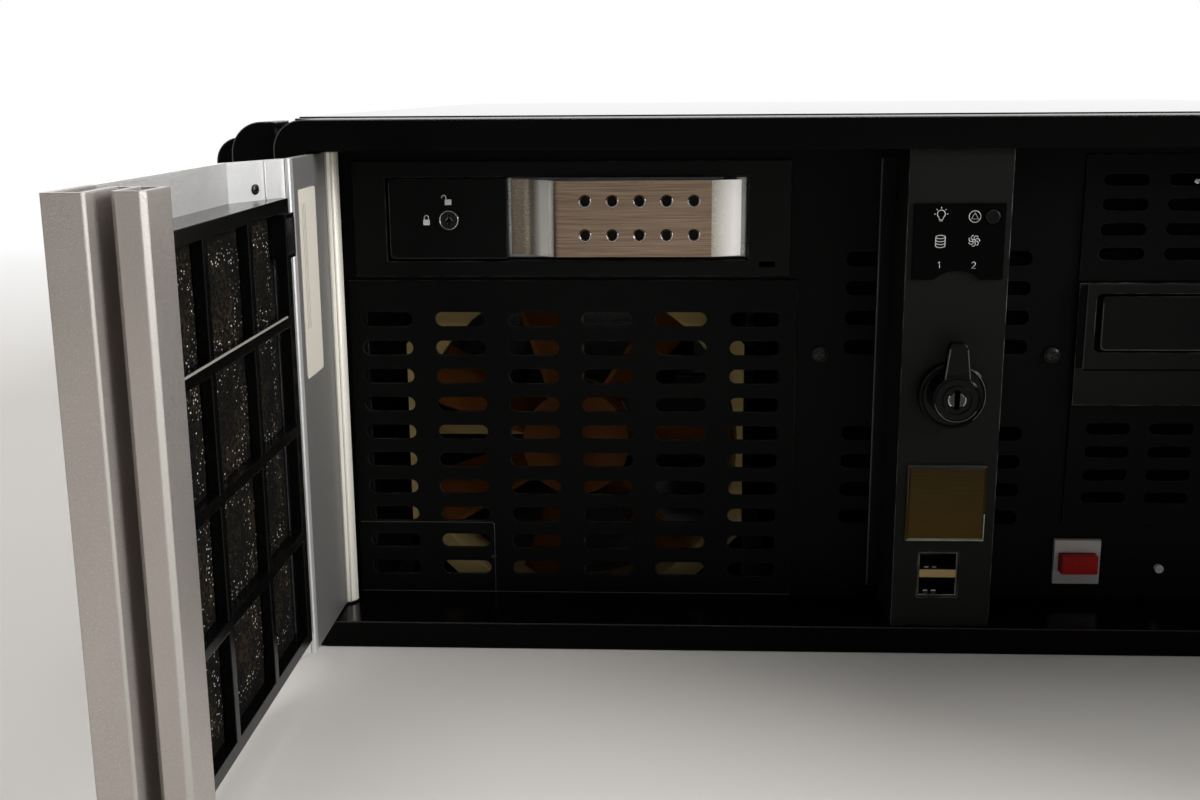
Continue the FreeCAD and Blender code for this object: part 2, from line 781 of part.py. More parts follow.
def rear_panel():
    """The rear plate with its ports, card slots, fan holes and power supply opening."""
    depth = (BACK + " - overcut", "body_depth + overcut")
    plate = box("RearPlate", ("-body_width / 2", WALL), (BACK, "body_depth"), ("0", "body_height"))
    board_top = "sheet_steel + standoff_height + board_sheet"
    shield_z = (board_top + " - shield_drop", board_top + " - shield_drop + shield_height")
    supply_x = ("supply_left + supply_margin", "supply_right - supply_margin")
    supply_z = ("sheet_steel + supply_margin", "sheet_steel + supply_height - supply_margin")
    tools = [
        box("ShieldOpening", ("shield_left", "shield_left + shield_width"), depth, shield_z),
        box("SupplyOpening", supply_x, depth, supply_z),
    ]
    for index in range(4):
        middle = "slot_first + %d * slot_pitch" % index
        slot_x = centred(middle, "slot_opening")
        tools.append(box("CardSlot%d" % index, slot_x, depth, ("slot_low", "slot_high")))
    for name in ("rear_fan_left", "rear_fan_right"):
        tools.append(rod("Hole_" + name, "y", (name, "rear_fan_z"), "rear_fan / 2 - fan_wall", depth))
    node("rear_panel", cut("RearPanel", plate, *tools))


def ears():
    """Folded rack ears, each with two slotted holes."""
    flange = [
        (WALL, "ear_low"),
        ("rack_width / 2", "ear_low"),
        ("rack_width / 2", "ear_high"),
        (WALL, "ear_high"),
    ]
    plate = prism("EarFlange", "XZ", flange, ("-ear_thickness", "0"), {"ear_corner": (1, 2)})
    leg_top = "body_height - cover_lip - bracket_gap"
    leg_x = (WALL, WALL + " + ear_thickness")
    leg = box("EarLeg", leg_x, ("-ear_thickness", "ear_leg"), ("ear_low", leg_top))
    tools = []
    for name, height in (("Low", "rack_hole_low"), ("High", "rack_hole_low + rack_hole_pitch")):
        for side, sign in (("In", "-"), ("Out", "+")):
            middle = "rack_hole_span / 2 %s (rack_slot_length / 2 - rack_hole_radius)" % sign
            span = ("-ear_thickness - overcut", "overcut")
            tools.append(rod("EarHole" + name + side, "y", (middle, height), "rack_hole_radius", span))
        across = centred("rack_hole_span / 2", "rack_slot_length - 2 * rack_hole_radius")
        upright = centred(height, "2 * rack_hole_radius")
        tools.append(box("EarSlot" + name, across, ("-ear_thickness - overcut", "overcut"), upright))
    right = cut("EarRight", join("EarBlank", plate, leg), *tools)
    node("rack_ears", group("RackEars", [right, mirrored("EarLeft", right)]))


def front_frame():
    """The moulded frame round the doors and the cheeks beside it."""
    half = "frame_width / 2"
    rim = [("-" + half, "0"), (half, "0"), (half, "frame_height"), ("-" + half, "frame_height")]
    front_y = ("-frame_reach", "-ear_thickness")
    front = prism("FrameRim", "XZ", rim, front_y, {"frame_corner": (0, 1, 2, 3)})
    back_y = ("-ear_thickness", "panel_setback")
    back = box("FrameBack", ("-body_width / 2", WALL), back_y, ("0", "frame_height"))
    blank = join("FrameBlank", front, back)
    mouth_x = ("frame_lip - frame_width / 2", "frame_width / 2 - frame_lip")
    mouth_z = ("frame_sill", FRAME_TOP)
    through = ("-frame_reach - overcut", "panel_setback + overcut")
    inner_x = ("frame_side_wall - body_width / 2", "body_width / 2 - frame_side_wall")
    inner_y = ("frame_lip_depth - frame_reach", "panel_setback + overcut")
    tools = [
        box("FrameMouth", mouth_x, through, mouth_z),
        box("FrameInside", inner_x, inner_y, mouth_z),
    ]
    for side, sign in (("Left", "-"), ("Right", "")):
        across = (sign + "hinge_half_span", HINGE_Y)
        low = ("frame_sill - hinge_pin_length / 2", "frame_sill")
        high = (FRAME_TOP, FRAME_TOP + " + hinge_pin_length / 2")
        tools.append(rod("PivotLow" + side, "z", across, "hinge_pin_radius", low))
        tools.append(rod("PivotHigh" + side, "z", across, "hinge_pin_radius", high))
    node("front_frame", cut("FrontFrame", blank, *tools))
    outer = half + " + cheek_width"
    waist = half + " + cheek_width - cheek_waist"
    cheek = [
        (half, "cheek_low"),
        (outer, "cheek_low"),
        (outer, "cheek_low + cheek_lobe"),
        (waist, "cheek_low + cheek_lobe + cheek_ease"),
        (waist, "cheek_high - cheek_lobe - cheek_ease"),
        (outer, "cheek_high - cheek_lobe"),
        (outer, "cheek_high"),
        (half, "cheek_high"),
    ]
    rounds = {"cheek_corner": (1, 6), "cheek_corner / 2": (2, 3, 4, 5)}
    right = prism("CheekRight", "XZ", cheek, ("-cheek_reach", "-ear_thickness"), rounds)
    node("side_cheeks", group("SideCheeks", [right, mirrored("CheekLeft", right)]))


def hinge_pins():
    """Four pivot pins, half in the frame and half in the door bars."""
    pins = []
    for side, sign in (("Left", "-"), ("Right", "")):
        across = (sign + "hinge_half_span", HINGE_Y)
        low = ("frame_sill - hinge_pin_length / 2", "frame_sill + hinge_pin_length / 2")
        high = (FRAME_TOP + " - hinge_pin_length / 2", FRAME_TOP + " + hinge_pin_length / 2")
        pins.append(rod("PinLow" + side, "z", across, "hinge_pin_radius", low))
        pins.append(rod("PinHigh" + side, "z", across, "hinge_pin_radius", high))
    node("hinge_pins", group("HingePins", pins))


def doors():
    """Extruded doors, drawn open. Across is square to the leaf and along runs from hinge to free edge."""
    slim = "leaf_back - door_sheet"
    inner_skin = "door_sheet - skin_offset"
    ledge = "return_depth - skin_offset"
    rail_high = "rail_width - rail_low"
    profile = [
        ("-leaf_back", "-hinge_bar_radius / 2"),
        ("-leaf_back", "-leaf_end"),
        ("-skin_offset", "-slant_end"),
        ("-skin_offset", "-skin_end"),
        (ledge + " - return_chamfer", "-skin_end"),
        (ledge, "return_chamfer - skin_end"),
        (ledge, "-rail_start - door_sheet"),
        ("-rail_low", "-rail_start - door_sheet"),
        ("-rail_low", "rail_chamfer - rail_end"),
        ("rail_chamfer - rail_low", "-rail_end"),
        (rail_high + " - rail_chamfer", "-rail_end"),
        (rail_high, "rail_chamfer - rail_end"),
        (rail_high, "-rail_start"),
        (ledge + " - door_sheet", "-rail_start"),
        (ledge + " - door_sheet", "door_sheet - skin_end"),
        (inner_skin, "door_sheet - skin_end"),
        (inner_skin, "-slant_end"),
        ("-(%s)" % slim, "-leaf_end"),
        ("-(%s)" % slim, "-hinge_bar_radius / 2"),
    ]
    hollow = [
        ("rail_wall - rail_low", "rail_wall - rail_end"),
        (rail_high + " - rail_wall", "rail_wall - rail_end"),
        (rail_high + " - rail_wall", "-rail_start - door_sheet"),
        ("rail_wall - rail_low", "-rail_start - door_sheet"),
    ]
    length = "(%s) - (%s)" % (DOOR_Z[1], DOOR_Z[0])
    body = doc.addObject("PartDesign::Body", "DoorLeft")
    pad(body, outline(body, "DoorProfile", "XY", profile), length)
    pocket_through(body, outline(body, "DoorHollow", "XY", hollow))
    pad(body, circle(body, "DoorBar", "XY", "0", "0", "hinge_bar_radius"), length)
    pocket_through(body, circle(body, "DoorBore", "XY", "0", "0", "hinge_pin_radius + running_gap"))
    place(body, x=HINGE_X, y=HINGE_Y, z=DOOR_Z[0])
    node("door_left", body)
    node("door_right", mirrored("DoorRight", body))
    door_filter()


def door_filter():
    """The filter's moulded grid and its foam, against the inside of the door skin."""
    floor = "door_sheet - skin_offset"
    slope = "(skin_offset - leaf_back) / (slant_end - leaf_end)"
    shoulder = "-%s * (filter_start - leaf_end) + door_sheet - leaf_back + filter_gap" % slope
    grid_back = "filter_face - filter_grid"
    outer = [
        ("filter_face", "-filter_start"),
        (shoulder, "-filter_start"),
        (floor, "-slant_end - filter_wall / 2"),
        (floor, "-rail_start + filter_gap"),
        ("filter_face", "-rail_start + filter_gap"),
    ]
    inner = [
        (grid_back, "-filter_start - 2 * filter_wall"),
        (floor, "-slant_end - 2 * filter_wall"),
        (floor, "-rail_start + filter_gap + filter_wall"),
        (grid_back, "-rail_start + filter_gap + filter_wall"),
    ]
    low = ("filter_low + filter_wall", "filter_high - filter_wall")
    shell = prism("FilterShell", "XY", outer, ("filter_low", "filter_high"))
    hollow = prism("FilterHollow", "XY", inner, low)
    foam = prism("FilterFoam", "XY", inner, low)
    for body in (shell, hollow, foam):
        place(body, x=HINGE_X, y=HINGE_Y)
    tools = [hollow] + filter_windows(grid_back, low)
    frame = cut("FilterFrame", shell, *tools)
    tab_y = "-hinge_forward - filter_start - filter_wall / 2"
    tab = box(
        "FilterTab",
        ("filter_face - hinge_half_span", "filter_face + filter_tab_proud - hinge_half_span"),
        (tab_y + " - filter_tab_width", tab_y),
        ("filter_high - filter_wall - filter_tab_height", "filter_high - filter_wall"),
    )
    pad_back = box(
        "FilterTabRoot",
        (grid_back + " - hinge_half_span", "filter_face - hinge_half_span"),
        (tab_y + " - filter_tab_width", tab_y),
        ("filter_high - filter_wall - filter_tab_height", "filter_high - filter_wall"),
    )
    frame = join("FilterFrameTab", frame, pad_back, tab)
    node("filter_frame_left", frame)
    node("filter_frame_right", mirrored("FilterFrameRight", frame))
    node("filter_foam_left", foam)
    node("filter_foam_right", mirrored("FilterFoamRight", foam))


def filter_windows(grid_back, upright):
    """The open windows of the filter grid, three across and four up, between its ribs."""
    near = "-hinge_forward - filter_start - filter_wall"
    far = "-hinge_forward - rail_start + filter_gap + filter_wall"
    step = "((%s) - (%s) + filter_rib) / 3" % (near, far)
    rise = "((%s) - (%s) + filter_rib) / 4" % (upright[1], upright[0])
    depth = (grid_back + " - overcut - hinge_half_span", "filter_face + overcut - hinge_half_span")
    windows = []
    for column in range(3):
        start = "%s + %d * %s" % (far, column, step)
        for row in range(4):
            low = "%s + %d * %s" % (upright[0], row, rise)
            along = (start, "%s + %s - filter_rib" % (start, step))
            height = (low, "%s + %s - filter_rib" % (low, rise))
            windows.append(box("FilterWindow%d%d" % (column, row), depth, along, height))
    return windows


def pillar():
    """The centre pillar and what its face carries."""
    half = "pillar_width / 2"
    inner = "pillar_width / 2 - pillar_wall"
    channel = [
        ("-" + half, PILLAR_FRONT),
        (half, PILLAR_FRONT),
        (half, "panel_setback"),
        (inner, "panel_setback"),
        (inner, PILLAR_FRONT + " + pillar_wall"),
        ("-(%s)" % inner, PILLAR_FRONT + " + pillar_wall"),
        ("-(%s)" % inner, "panel_setback"),
        ("-" + half, "panel_setback"),
    ]
    body = prism("Pillar", "XY", channel, ("frame_sill", FRAME_TOP))
    through = (PILLAR_FRONT + " - overcut", PILLAR_FRONT + " + pillar_wall + overcut")
    usb_x = centred("usb_x", "usb_width")
    usb_z = ("usb_low", "usb_low + usb_height")
    alarm = ("alarm_button_x", "alarm_button_z")
    tools = [
        rod("PillarLockHole", "y", ("0", "lock_z"), "lock_hole_radius", through),
        rod("PillarAlarmHole", "y", alarm, "alarm_button_radius + button_gap", through),
        box("PillarUsbHole", usb_x, through, usb_z),
    ]
    node("centre_pillar", cut("PillarCut", body, *tools))
    indicator_window(alarm)
    lock()
    badge_low = "badge_z - badge_size / 2"
    tile = box(
        "BadgeBlank",
        centred("0", "badge_size"),
        (PILLAR_FRONT + " - badge_thickness", PILLAR_FRONT),
        (badge_low, badge_low + " + badge_size"),
    )
    node("badge_plate", bevelled("Badge", tile, "badge_bevel", "y"))
    usb_socket(usb_x, usb_z)


def bevelled(name, block, size, axis):
    """A block with the edges of its low face along an axis chamfered."""
    doc.recompute()
    low = getattr(block.Shape.BoundBox, axis.upper() + "Min")
    position = "xyz".index(axis)
    chamfer = doc.addObject("Part::Chamfer", name)
    chamfer.Base = block
    edges = []
    width = sheet.get(size)
    for index, edge in enumerate(block.Shape.Edges, start=1):
        if all(abs(vertex.Point[position] - low) < 1e-6 for vertex in edge.Vertexes):
            edges.append((index, width, width))
    chamfer.Edges = edges
    return chamfer


def indicator_window(alarm):
    """The dark window over the signal lamps, notched below, and its push button."""
    glass_y = (PILLAR_FRONT + " - window_thickness", PILLAR_FRONT)
    glass_z = ("window_low", "window_low + window_height")
    glass = box("WindowBlank", centred("0", "window_width"), glass_y, glass_z)
    reach = (PILLAR_FRONT + " - window_thickness - overcut", PILLAR_FRONT + " + overcut")
    drop = "window_low + window_notch_rise - window_notch"
    hole = rod("WindowAlarmHole", "y", alarm, "alarm_button_radius + button_gap", reach)
    notch = rod("WindowNotch", "y", ("0", drop), "window_notch", reach)
    node("indicator_window", cut("Window", glass, notch, hole))
    front = PILLAR_FRONT + " - 2 * window_thickness"
    button_y = (front, front + " + alarm_button_length")
    node("alarm_button", rod("AlarmButton", "y", alarm, "alarm_button_radius", button_y))


def lock():
    """The lock's collar, fixed in the pillar, and the winged latch that turns in it."""
    axis = ("0", "lock_z")
    face = PILLAR_FRONT + " - collar_proud"
    flange = rod("CollarFlange", "y", axis, "collar_radius", (face, PILLAR_FRONT))
    end = PILLAR_FRONT + " + collar_depth"
    barrel = rod("CollarBarrel", "y", axis, "lock_hole_radius", (PILLAR_FRONT, end))
    bore_y = (face + " - overcut", end + " + overcut")
    bore = rod("CollarBore", "y", axis, "latch_shaft + running_gap", bore_y)
    collar = cut("Collar", join("CollarBlank", flange, barrel), bore)
    node("lock_collar", collar)
    back = face + " - door_clearance / 2"
    front = back + " - latch_proud"
    knob = rod("LatchKnob", "y", axis, "latch_radius", (front, back))
    shaft = rod("LatchShaft", "y", axis, "latch_shaft", (back, end))
    wing = [
        ("-latch_root / 2", "lock_z"),
        ("latch_root / 2", "lock_z"),
        ("latch_tip / 2", "lock_z + latch_wing"),
        ("-latch_tip / 2", "lock_z + latch_wing"),
    ]
    wing_y = centred(front + " + latch_proud / 2", "latch_wing_depth")
    wings = prism("LatchWings", "XZ", wing, wing_y, {"latch_tip / 3": (2, 3)})
    keyway_z = centred("lock_z", "keyway_length")
    keyway_y = (front + " - overcut", front + " + keyway_depth")
    keyway = box("Keyway", centred("0", "keyway_width"), keyway_y, keyway_z)
    node("turn_latch", cut("Latch", join("LatchBlank", knob, shaft, wings), keyway))


def usb_socket(across, upright):
    """A stacked pair of USB sockets behind the pillar's opening, each with its tongue."""
    depth = (PILLAR_FRONT + " + usb_shell", PILLAR_FRONT + " + usb_shell + usb_depth")
    shell = box("UsbShell", across, depth, upright)
    inside_x = (across[0] + " + usb_shell", across[1] + " - usb_shell")
    deck = "usb_low + usb_height / 2"
    ports = (
        ("Low", "usb_low + usb_shell", deck + " - usb_deck / 2"),
        ("High", deck + " + usb_deck / 2", "usb_low + usb_height - usb_shell"),
    )
    mouth = (PILLAR_FRONT + " - overcut", PILLAR_FRONT + " + usb_shell + usb_depth - usb_deck")
    openings = [box("UsbPort" + name, inside_x, mouth, (low, high)) for name, low, high in ports]
    hollow = cut("UsbHollow", shell, *openings)
    tongue_y = (mouth[1] + " - usb_tongue_depth", mouth[1])
    tongue_x = (inside_x[0] + " + usb_shell", inside_x[1] + " - usb_shell")
    tongues = []
    for name, low, high in ports:
        tongues.append(box("UsbTongue" + name, tongue_x, tongue_y, (high + " - usb_tongue", high)))
    node("usb_socket", join("UsbSocket", hollow, *tongues))


def slotted_cover(name, low):
    """A vented bay cover: a slotted face with two folded sides."""
    across = centred("bay_right", "bay_width")
    upright = (low + " + bay_bezel_gap", low + " + bay_pitch - bay_bezel_gap")
    body = prism(name, "XZ", rectangle(across, upright), COVER_Y)
    middle = (across[0] + " + cover_slot_first", low + " + cover_slot_low")
    sketch = obround(body, name + "Slot", "XZ", middle, "cover_slot_length", "cover_slot_height")
    feature = pocket_through(body, sketch)
    grid(body, feature, ("cover_slot_pitch", "cover_slot_columns"), ("cover_slot_rise", "cover_slot_rows"))
    fold_y = ("panel_setback", "panel_setback + cover_fold")
    fold_z = (low + " + 2 * bay_overlap", low + " + bay_pitch - 2 * bay_overlap")
    left_x = across[0] + " + bay_overlap + bracket_gap"
    right_x = across[1] + " - bay_overlap - bracket_gap"
    left = box(name + "FoldLeft", (left_x, left_x + " + sheet_steel"), fold_y, fold_z)
    right = box(name + "FoldRight", (right_x + " - sheet_steel", right_x), fold_y, fold_z)
    return join(name + "Folded", body, left, right)


def bays():
    """Covers, grille and the brackets that carry the bays."""
    covers = [slotted_cover("LowerCover", "bay_low"), slotted_cover("UpperCover", "bay_low + 2 * bay_pitch")]
    node("bay_covers", group("BayCovers", covers))
    across = centred("bay_left", "grille_width")
    grille = prism("FanGrille", "XZ", rectangle(across, ("grille_low", "grille_high")), COVER_Y)
    middle = (across[0] + " + grille_slot_first", "grille_low + grille_slot_low")
    sketch = obround(grille, "GrilleSlot", "XZ", middle, "grille_slot_length", "grille_slot_height")
    feature = pocket_through(grille, sketch)
    columns = ("grille_slot_pitch", "grille_slot_columns")
    grid(grille, feature, columns, ("grille_slot_rise", "grille_slot_rows"))
    node("fan_grille", grille)
    brackets = []
    depth = (PANEL_BACK + " + bracket_setback", PANEL_BACK + " + bracket_depth")
    for name, middle, top in (
        ("BracketLeft", "bay_left", "rack_bezel_low + rack_bezel_height - 2 * bay_overlap"),
        ("BracketRight", "bay_right", "bay_low + 3 * bay_pitch - 2 * bay_overlap"),
    ):
        inner = centred(middle, "bay_width - 2 * bay_overlap")
        for side, low, high, foot in (
            ("Near", inner[0] + " - sheet_steel", inner[0], (inner[0] + " - bracket_foot", inner[0])),
            ("Far", inner[1], inner[1] + " + sheet_steel", (inner[1], inner[1] + " + bracket_foot")),
        ):
            wall = box(name + side, (low, high), depth, ("sheet_steel", top))
            flat = box(name + side + "Foot", foot, depth, ("sheet_steel", "2 * sheet_steel"))
            brackets.append(join(name + side + "Angle", wall, flat))
    node("bay_brackets", group("BayBrackets", brackets))


# The drive rack's mouth, which the tray passes
MOUTH_X = ("mouth_left", "mouth_right")
MOUTH_Z = ("rack_bezel_low + rack_mouth_low", "rack_bezel_low + rack_bezel_height - rack_mouth_high")
TRAY_X = ("tray_left", "tray_right")
TRAY_Z = (MOUTH_Z[0] + " + tray_gap", MOUTH_Z[1] + " - tray_gap")
TRAY_FRONT = "panel_setback + tray_wall_setback"


def drive_rack():
    """The hot-swap rack: bezel, cage and backplane, then its sliding tray."""
    face_x = centred("bay_left", "bay_width")
    face_z = ("rack_bezel_low", "rack_bezel_low + rack_bezel_height")
    plate = box("RackFace", face_x, ("panel_setback - rack_bezel_proud", "panel_setback"), face_z)
    sleeve_x = (MOUTH_X[0] + " - rack_cage_wall * 2", MOUTH_X[1] + " + rack_cage_wall * 2")
    sleeve_z = (MOUTH_Z[0] + " - rack_cage_wall * 2", MOUTH_Z[1] + " + rack_cage_wall * 2")
    sleeve = box("RackSleeve", sleeve_x, ("panel_setback", "panel_setback + rack_sleeve"), sleeve_z)
    mouth_y = ("panel_setback - rack_bezel_proud - overcut", "panel_setback + rack_sleeve + overcut")
    mouth = box("RackMouth", MOUTH_X, mouth_y, MOUTH_Z)
    slot_x = (face_x[1] + " - bezel_slot_right - bezel_slot_width", face_x[1] + " - bezel_slot_right")
    slot_z = ("rack_bezel_low + bezel_slot_rise", "rack_bezel_low + bezel_slot_rise + bezel_slot_height")
    slot = box("RackSlot", slot_x, (mouth_y[0], "panel_setback + overcut"), slot_z)
    node("drive_rack_bezel", cut("RackBezel", join("RackBezelBlank", plate, sleeve), mouth, slot))
    edge = "bay_overlap + bracket_gap"
    cage_x = (face_x[0] + " + " + edge, face_x[1] + " - (%s)" % edge)
    cage_z = (face_z[0] + " + " + edge, face_z[1] + " - (%s)" % edge)
    cage_y = ("panel_setback", "panel_setback + rack_cage_depth")
    cage = box("CageBlank", cage_x, cage_y, cage_z)
    hollow_x = (cage_x[0] + " + rack_cage_wall", cage_x[1] + " - rack_cage_wall")
    hollow_z = (cage_z[0] + " + rack_cage_wall", cage_z[1] + " - rack_cage_wall")
    hollow = box("CageHollow", hollow_x, (cage_y[0] + " - overcut", cage_y[1] + " + overcut"), hollow_z)
    node("drive_rack_cage", cut("Cage", cage, hollow))
    board_y = (cage_y[1] + " - backplane_thickness", cage_y[1])
    node("drive_backplane", box("Backplane", hollow_x, board_y, hollow_z))
    drive_tray()
    drive_handle()


def drive_tray():
    """The tray with its front wall, handle lugs and rails, and the disk it carries."""
    wall_y = (TRAY_FRONT, TRAY_FRONT + " + tray_wall")
    wall = box("TrayWall", TRAY_X, wall_y, TRAY_Z)
    floor_z = (TRAY_Z[0], TRAY_Z[0] + " + tray_floor")
    length = (wall_y[1], TRAY_FRONT + " + tray_length")
    middle = "((%s) + (%s)) / 2" % TRAY_X
    disk_x = centred(middle, "disk_width")
    floor = box("TrayFloor", (disk_x[0] + " - tray_rail", disk_x[1] + " + tray_rail"), length, floor_z)
    rail_z = (TRAY_Z[0], TRAY_Z[0] + " + tray_rail_height")
    left = box("TrayRailLeft", (disk_x[0] + " - tray_rail", disk_x[0]), length, rail_z)
    right = box("TrayRailRight", (disk_x[1], disk_x[1] + " + tray_rail"), length, rail_z)
    pin = ("handle_pin_x", "handle_pin_y")
    lugs = []
    for name, low, high in (
        ("LugLow", "handle_low", "handle_low + handle_lug_height"),
        ("LugHigh", "handle_high - handle_lug_height", "handle_high"),
    ):
        lugs.append(rod(name, "z", pin, "handle_lug_radius", (low, high)))
        web_x = centred("handle_pin_x", "2 * handle_lug_radius")
        lugs.append(box(name + "Web", web_x, ("handle_pin_y", wall_y[0]), (low, high)))
    blank = join("TrayBlank", wall, floor, left, right, *lugs)
    bore_z = ("handle_low - overcut", "handle_high + overcut")
    bore = rod("TrayPinBore", "z", pin, "handle_pin_radius", bore_z)
    node("drive_tray", cut("Tray", blank, bore))
    node("handle_pin", rod("HandlePin", "z", pin, "handle_pin_radius", ("handle_low", "handle_high")))
    disk_z = (floor_z[1], floor_z[1] + " + disk_height")
    disk_y = (wall_y[1], wall_y[1] + " + disk_length")
    node("hard_disk", box("HardDisk", disk_x, disk_y, disk_z))
    key = ("key_x", "key_z")
    face_y = ("panel_setback + tray_face_setback", TRAY_FRONT)
    face = box("TrayFaceBlank", (TRAY_X[0], TRAY_X[0] + " + tray_face_width"), face_y, TRAY_Z)
    hole_y = ("panel_setback - overcut", TRAY_FRONT + " + overcut")
    hole = rod("TrayKeyHole", "y", key, "key_radius + running_gap", hole_y)
    node("tray_face", cut("TrayFace", face, hole))
    barrel = rod("KeyBarrel", "y", key, "key_radius", ("panel_setback - tray_face_setback", TRAY_FRONT))
    slit_x = centred("key_x", "keyway_width / 2")
    slit_y = ("panel_setback - overcut", "panel_setback + keyway_width")
    slit = box("KeySlit", slit_x, slit_y, centred("key_z", "key_radius"))
    node("tray_lock", cut("TrayLock", barrel, slit))


def drive_handle():
    """The bent strap handle with two rows of sunk holes, on a pin at its right end."""
    strap = [
        ("handle_left", "handle_root"),
        ("handle_left + handle_curl", "handle_root - handle_sheet / 2"),
        ("handle_flat_left", "handle_front"),
        ("handle_flat_right", "handle_front"),
        ("handle_right", "handle_end"),
        ("handle_right", "handle_end + handle_sheet"),
        ("handle_flat_right", "handle_front + handle_sheet"),
        ("handle_flat_left + handle_sheet / 2", "handle_front + handle_sheet"),
        ("handle_left + handle_curl + handle_sheet / 2", "handle_root + handle_sheet / 2"),
        ("handle_left", "handle_root + handle_sheet"),
    ]
    rounds = {"handle_curl": (1, 2), "handle_curl * 2 / 3": (7, 8)}
    body = prism("HandleStrap", "XY", strap, ("handle_low", "handle_high"), rounds)
    pin = ("handle_pin_x", "handle_pin_y")
    gap = "handle_lug_height + bracket_gap"
    barrel_z = ("handle_low + " + gap, "handle_high - (%s)" % gap)
    barrel = rod("HandleBarrel", "z", pin, "handle_barrel_radius", barrel_z)
    web_y = ("handle_end", "handle_pin_y")
    web = box("HandleWeb", centred("handle_pin_x", "handle_sheet"), web_y, barrel_z)
    bore_z = ("handle_low - overcut", "handle_high + overcut")
    bore = rod("HandleBore", "z", pin, "handle_pin_radius + running_gap", bore_z)
    tools = [bore]
    for column in range(5):
        for row in range(2):
            spot_x = "handle_hole_first + %d * handle_hole_pitch" % column
            across = (spot_x, "handle_hole_low + %d * handle_hole_rise" % row)
            name = "HandleHole%d%d" % (column, row)
            through = ("handle_front - overcut", "handle_front + handle_sheet + overcut")
            tools.append(rod(name, "y", across, "handle_hole_radius", through))
            tools.append(sink(name + "Sink", across))
    node("drive_handle", cut("Handle", join("HandleBlank", body, barrel, web), *tools))


def sink(name, across):
    """The cone of a countersunk hole in the handle's face."""
    cone = doc.addObject("Part::Cone", name)
    cone.setExpression("Radius1", formula("handle_sink_radius"))
    cone.setExpression("Radius2", formula("handle_hole_radius"))
    cone.setExpression("Height", formula("handle_sink_radius - handle_hole_radius"))
    cone.Placement.Rotation = ALONG["y"]
    place(cone, x=across[0], y="handle_front", z=across[1])
    return cone


def disc_drive():
    """The disc drive: body, bezel, sliding tray with its fascia, and eject button."""
    across = centred("bay_right", "bay_width")
    low = "bay_low + bay_pitch"
    face_z = (low + " + bay_bezel_gap", low + " + bay_pitch - bay_bezel_gap")
    face_y = ("panel_setback - disc_bezel_proud", "panel_setback")
    mouth_x = (across[0] + " + disc_mouth_left", across[1] + " - disc_mouth_left")
    mouth_z = (low + " + disc_mouth_low", low + " + disc_mouth_low + disc_mouth_height")
    through = (face_y[0] + " - overcut", face_y[1] + " + overcut")
    eject_x = centred("eject_x", "eject_width + 2 * button_gap")
    eject_z = centred(low + " + eject_rise", "eject_height + 2 * button_gap")
    plate = box("DiscBezelBlank", across, face_y, face_z)
    corners = {"disc_corner": (0, 1, 2, 3)}
    mouth = prism("DiscMouth", "XZ", rectangle(mouth_x, mouth_z), through, corners)
    node("disc_bezel", cut("DiscBezel", plate, mouth, box("EjectHole", eject_x, through, eject_z)))
    edge = "bay_overlap + bracket_gap"
    body_x = (across[0] + " + " + edge, across[1] + " - (%s)" % edge)
    body_z = centred(low + " + bay_pitch / 2", "disc_drive_height")
    body = box("DiscBodyBlank", body_x, ("panel_setback", "panel_setback + disc_drive_length"), body_z)
    tray_x = (mouth_x[0] + " + disc_tray_inset", mouth_x[1] + " - disc_tray_inset")
    tray_z = (mouth_z[0] + " + disc_tray_low", mouth_z[0] + " + disc_tray_low + disc_tray_height")
    slot_x = (tray_x[0] + " - disc_gap", tray_x[1] + " + disc_gap")
    slot_z = (tray_z[0] + " - disc_gap", tray_z[1] + " + disc_gap")
    slot_y = ("panel_setback - overcut", "panel_setback + disc_tray_length + disc_gap")
    void_x = (body_x[0] + " + disc_wall", body_x[1] + " - disc_wall")
    void_y = ("panel_setback + disc_wall", "panel_setback + disc_drive_length - disc_wall")
    void_z = (body_z[0] + " + disc_wall", slot_z[0] + " - disc_wall")
    void = box("DiscVoid", void_x, void_y, void_z)
    node("disc_drive", cut("DiscBody", body, box("DiscSlot", slot_x, slot_y, slot_z), void))
    fascia_y = (face_y[0] + " - disc_fascia_proud", face_y[0] + " - disc_fascia_proud + disc_fascia")
    fascia_x = (mouth_x[0] + " + disc_fascia_left", mouth_x[1] + " - disc_fascia_left")
    fascia_z = (mouth_z[0] + " + disc_fascia_low", mouth_z[1] + " - disc_fascia_low")
    corners = {"disc_corner / 2": (0, 1, 2, 3)}
    fascia = prism("DiscFascia", "XZ", rectangle(fascia_x, fascia_z), fascia_y, corners)
    plank = box("DiscPlank", tray_x, (fascia_y[1], "panel_setback + disc_tray_length"), tray_z)
    well_y = "panel_setback + disc_tray_length / 2"
    well_z = (tray_z[1] + " - disc_well_depth", tray_z[1] + " + overcut")
    well = rod("DiscWell", "z", ("bay_right", well_y), "disc_well_radius", well_z)
    node("disc_tray", cut("DiscTray", join("DiscTrayBlank", fascia, plank), well))
    back = "panel_setback - eject_travel - button_gap"
    button_y = (back + " - eject_length", back)
    button_x = centred("eject_x", "eject_width")
    button_z = centred(low + " + eject_rise", "eject_height")
    node("eject_button", box("EjectButton", button_x, button_y, button_z))


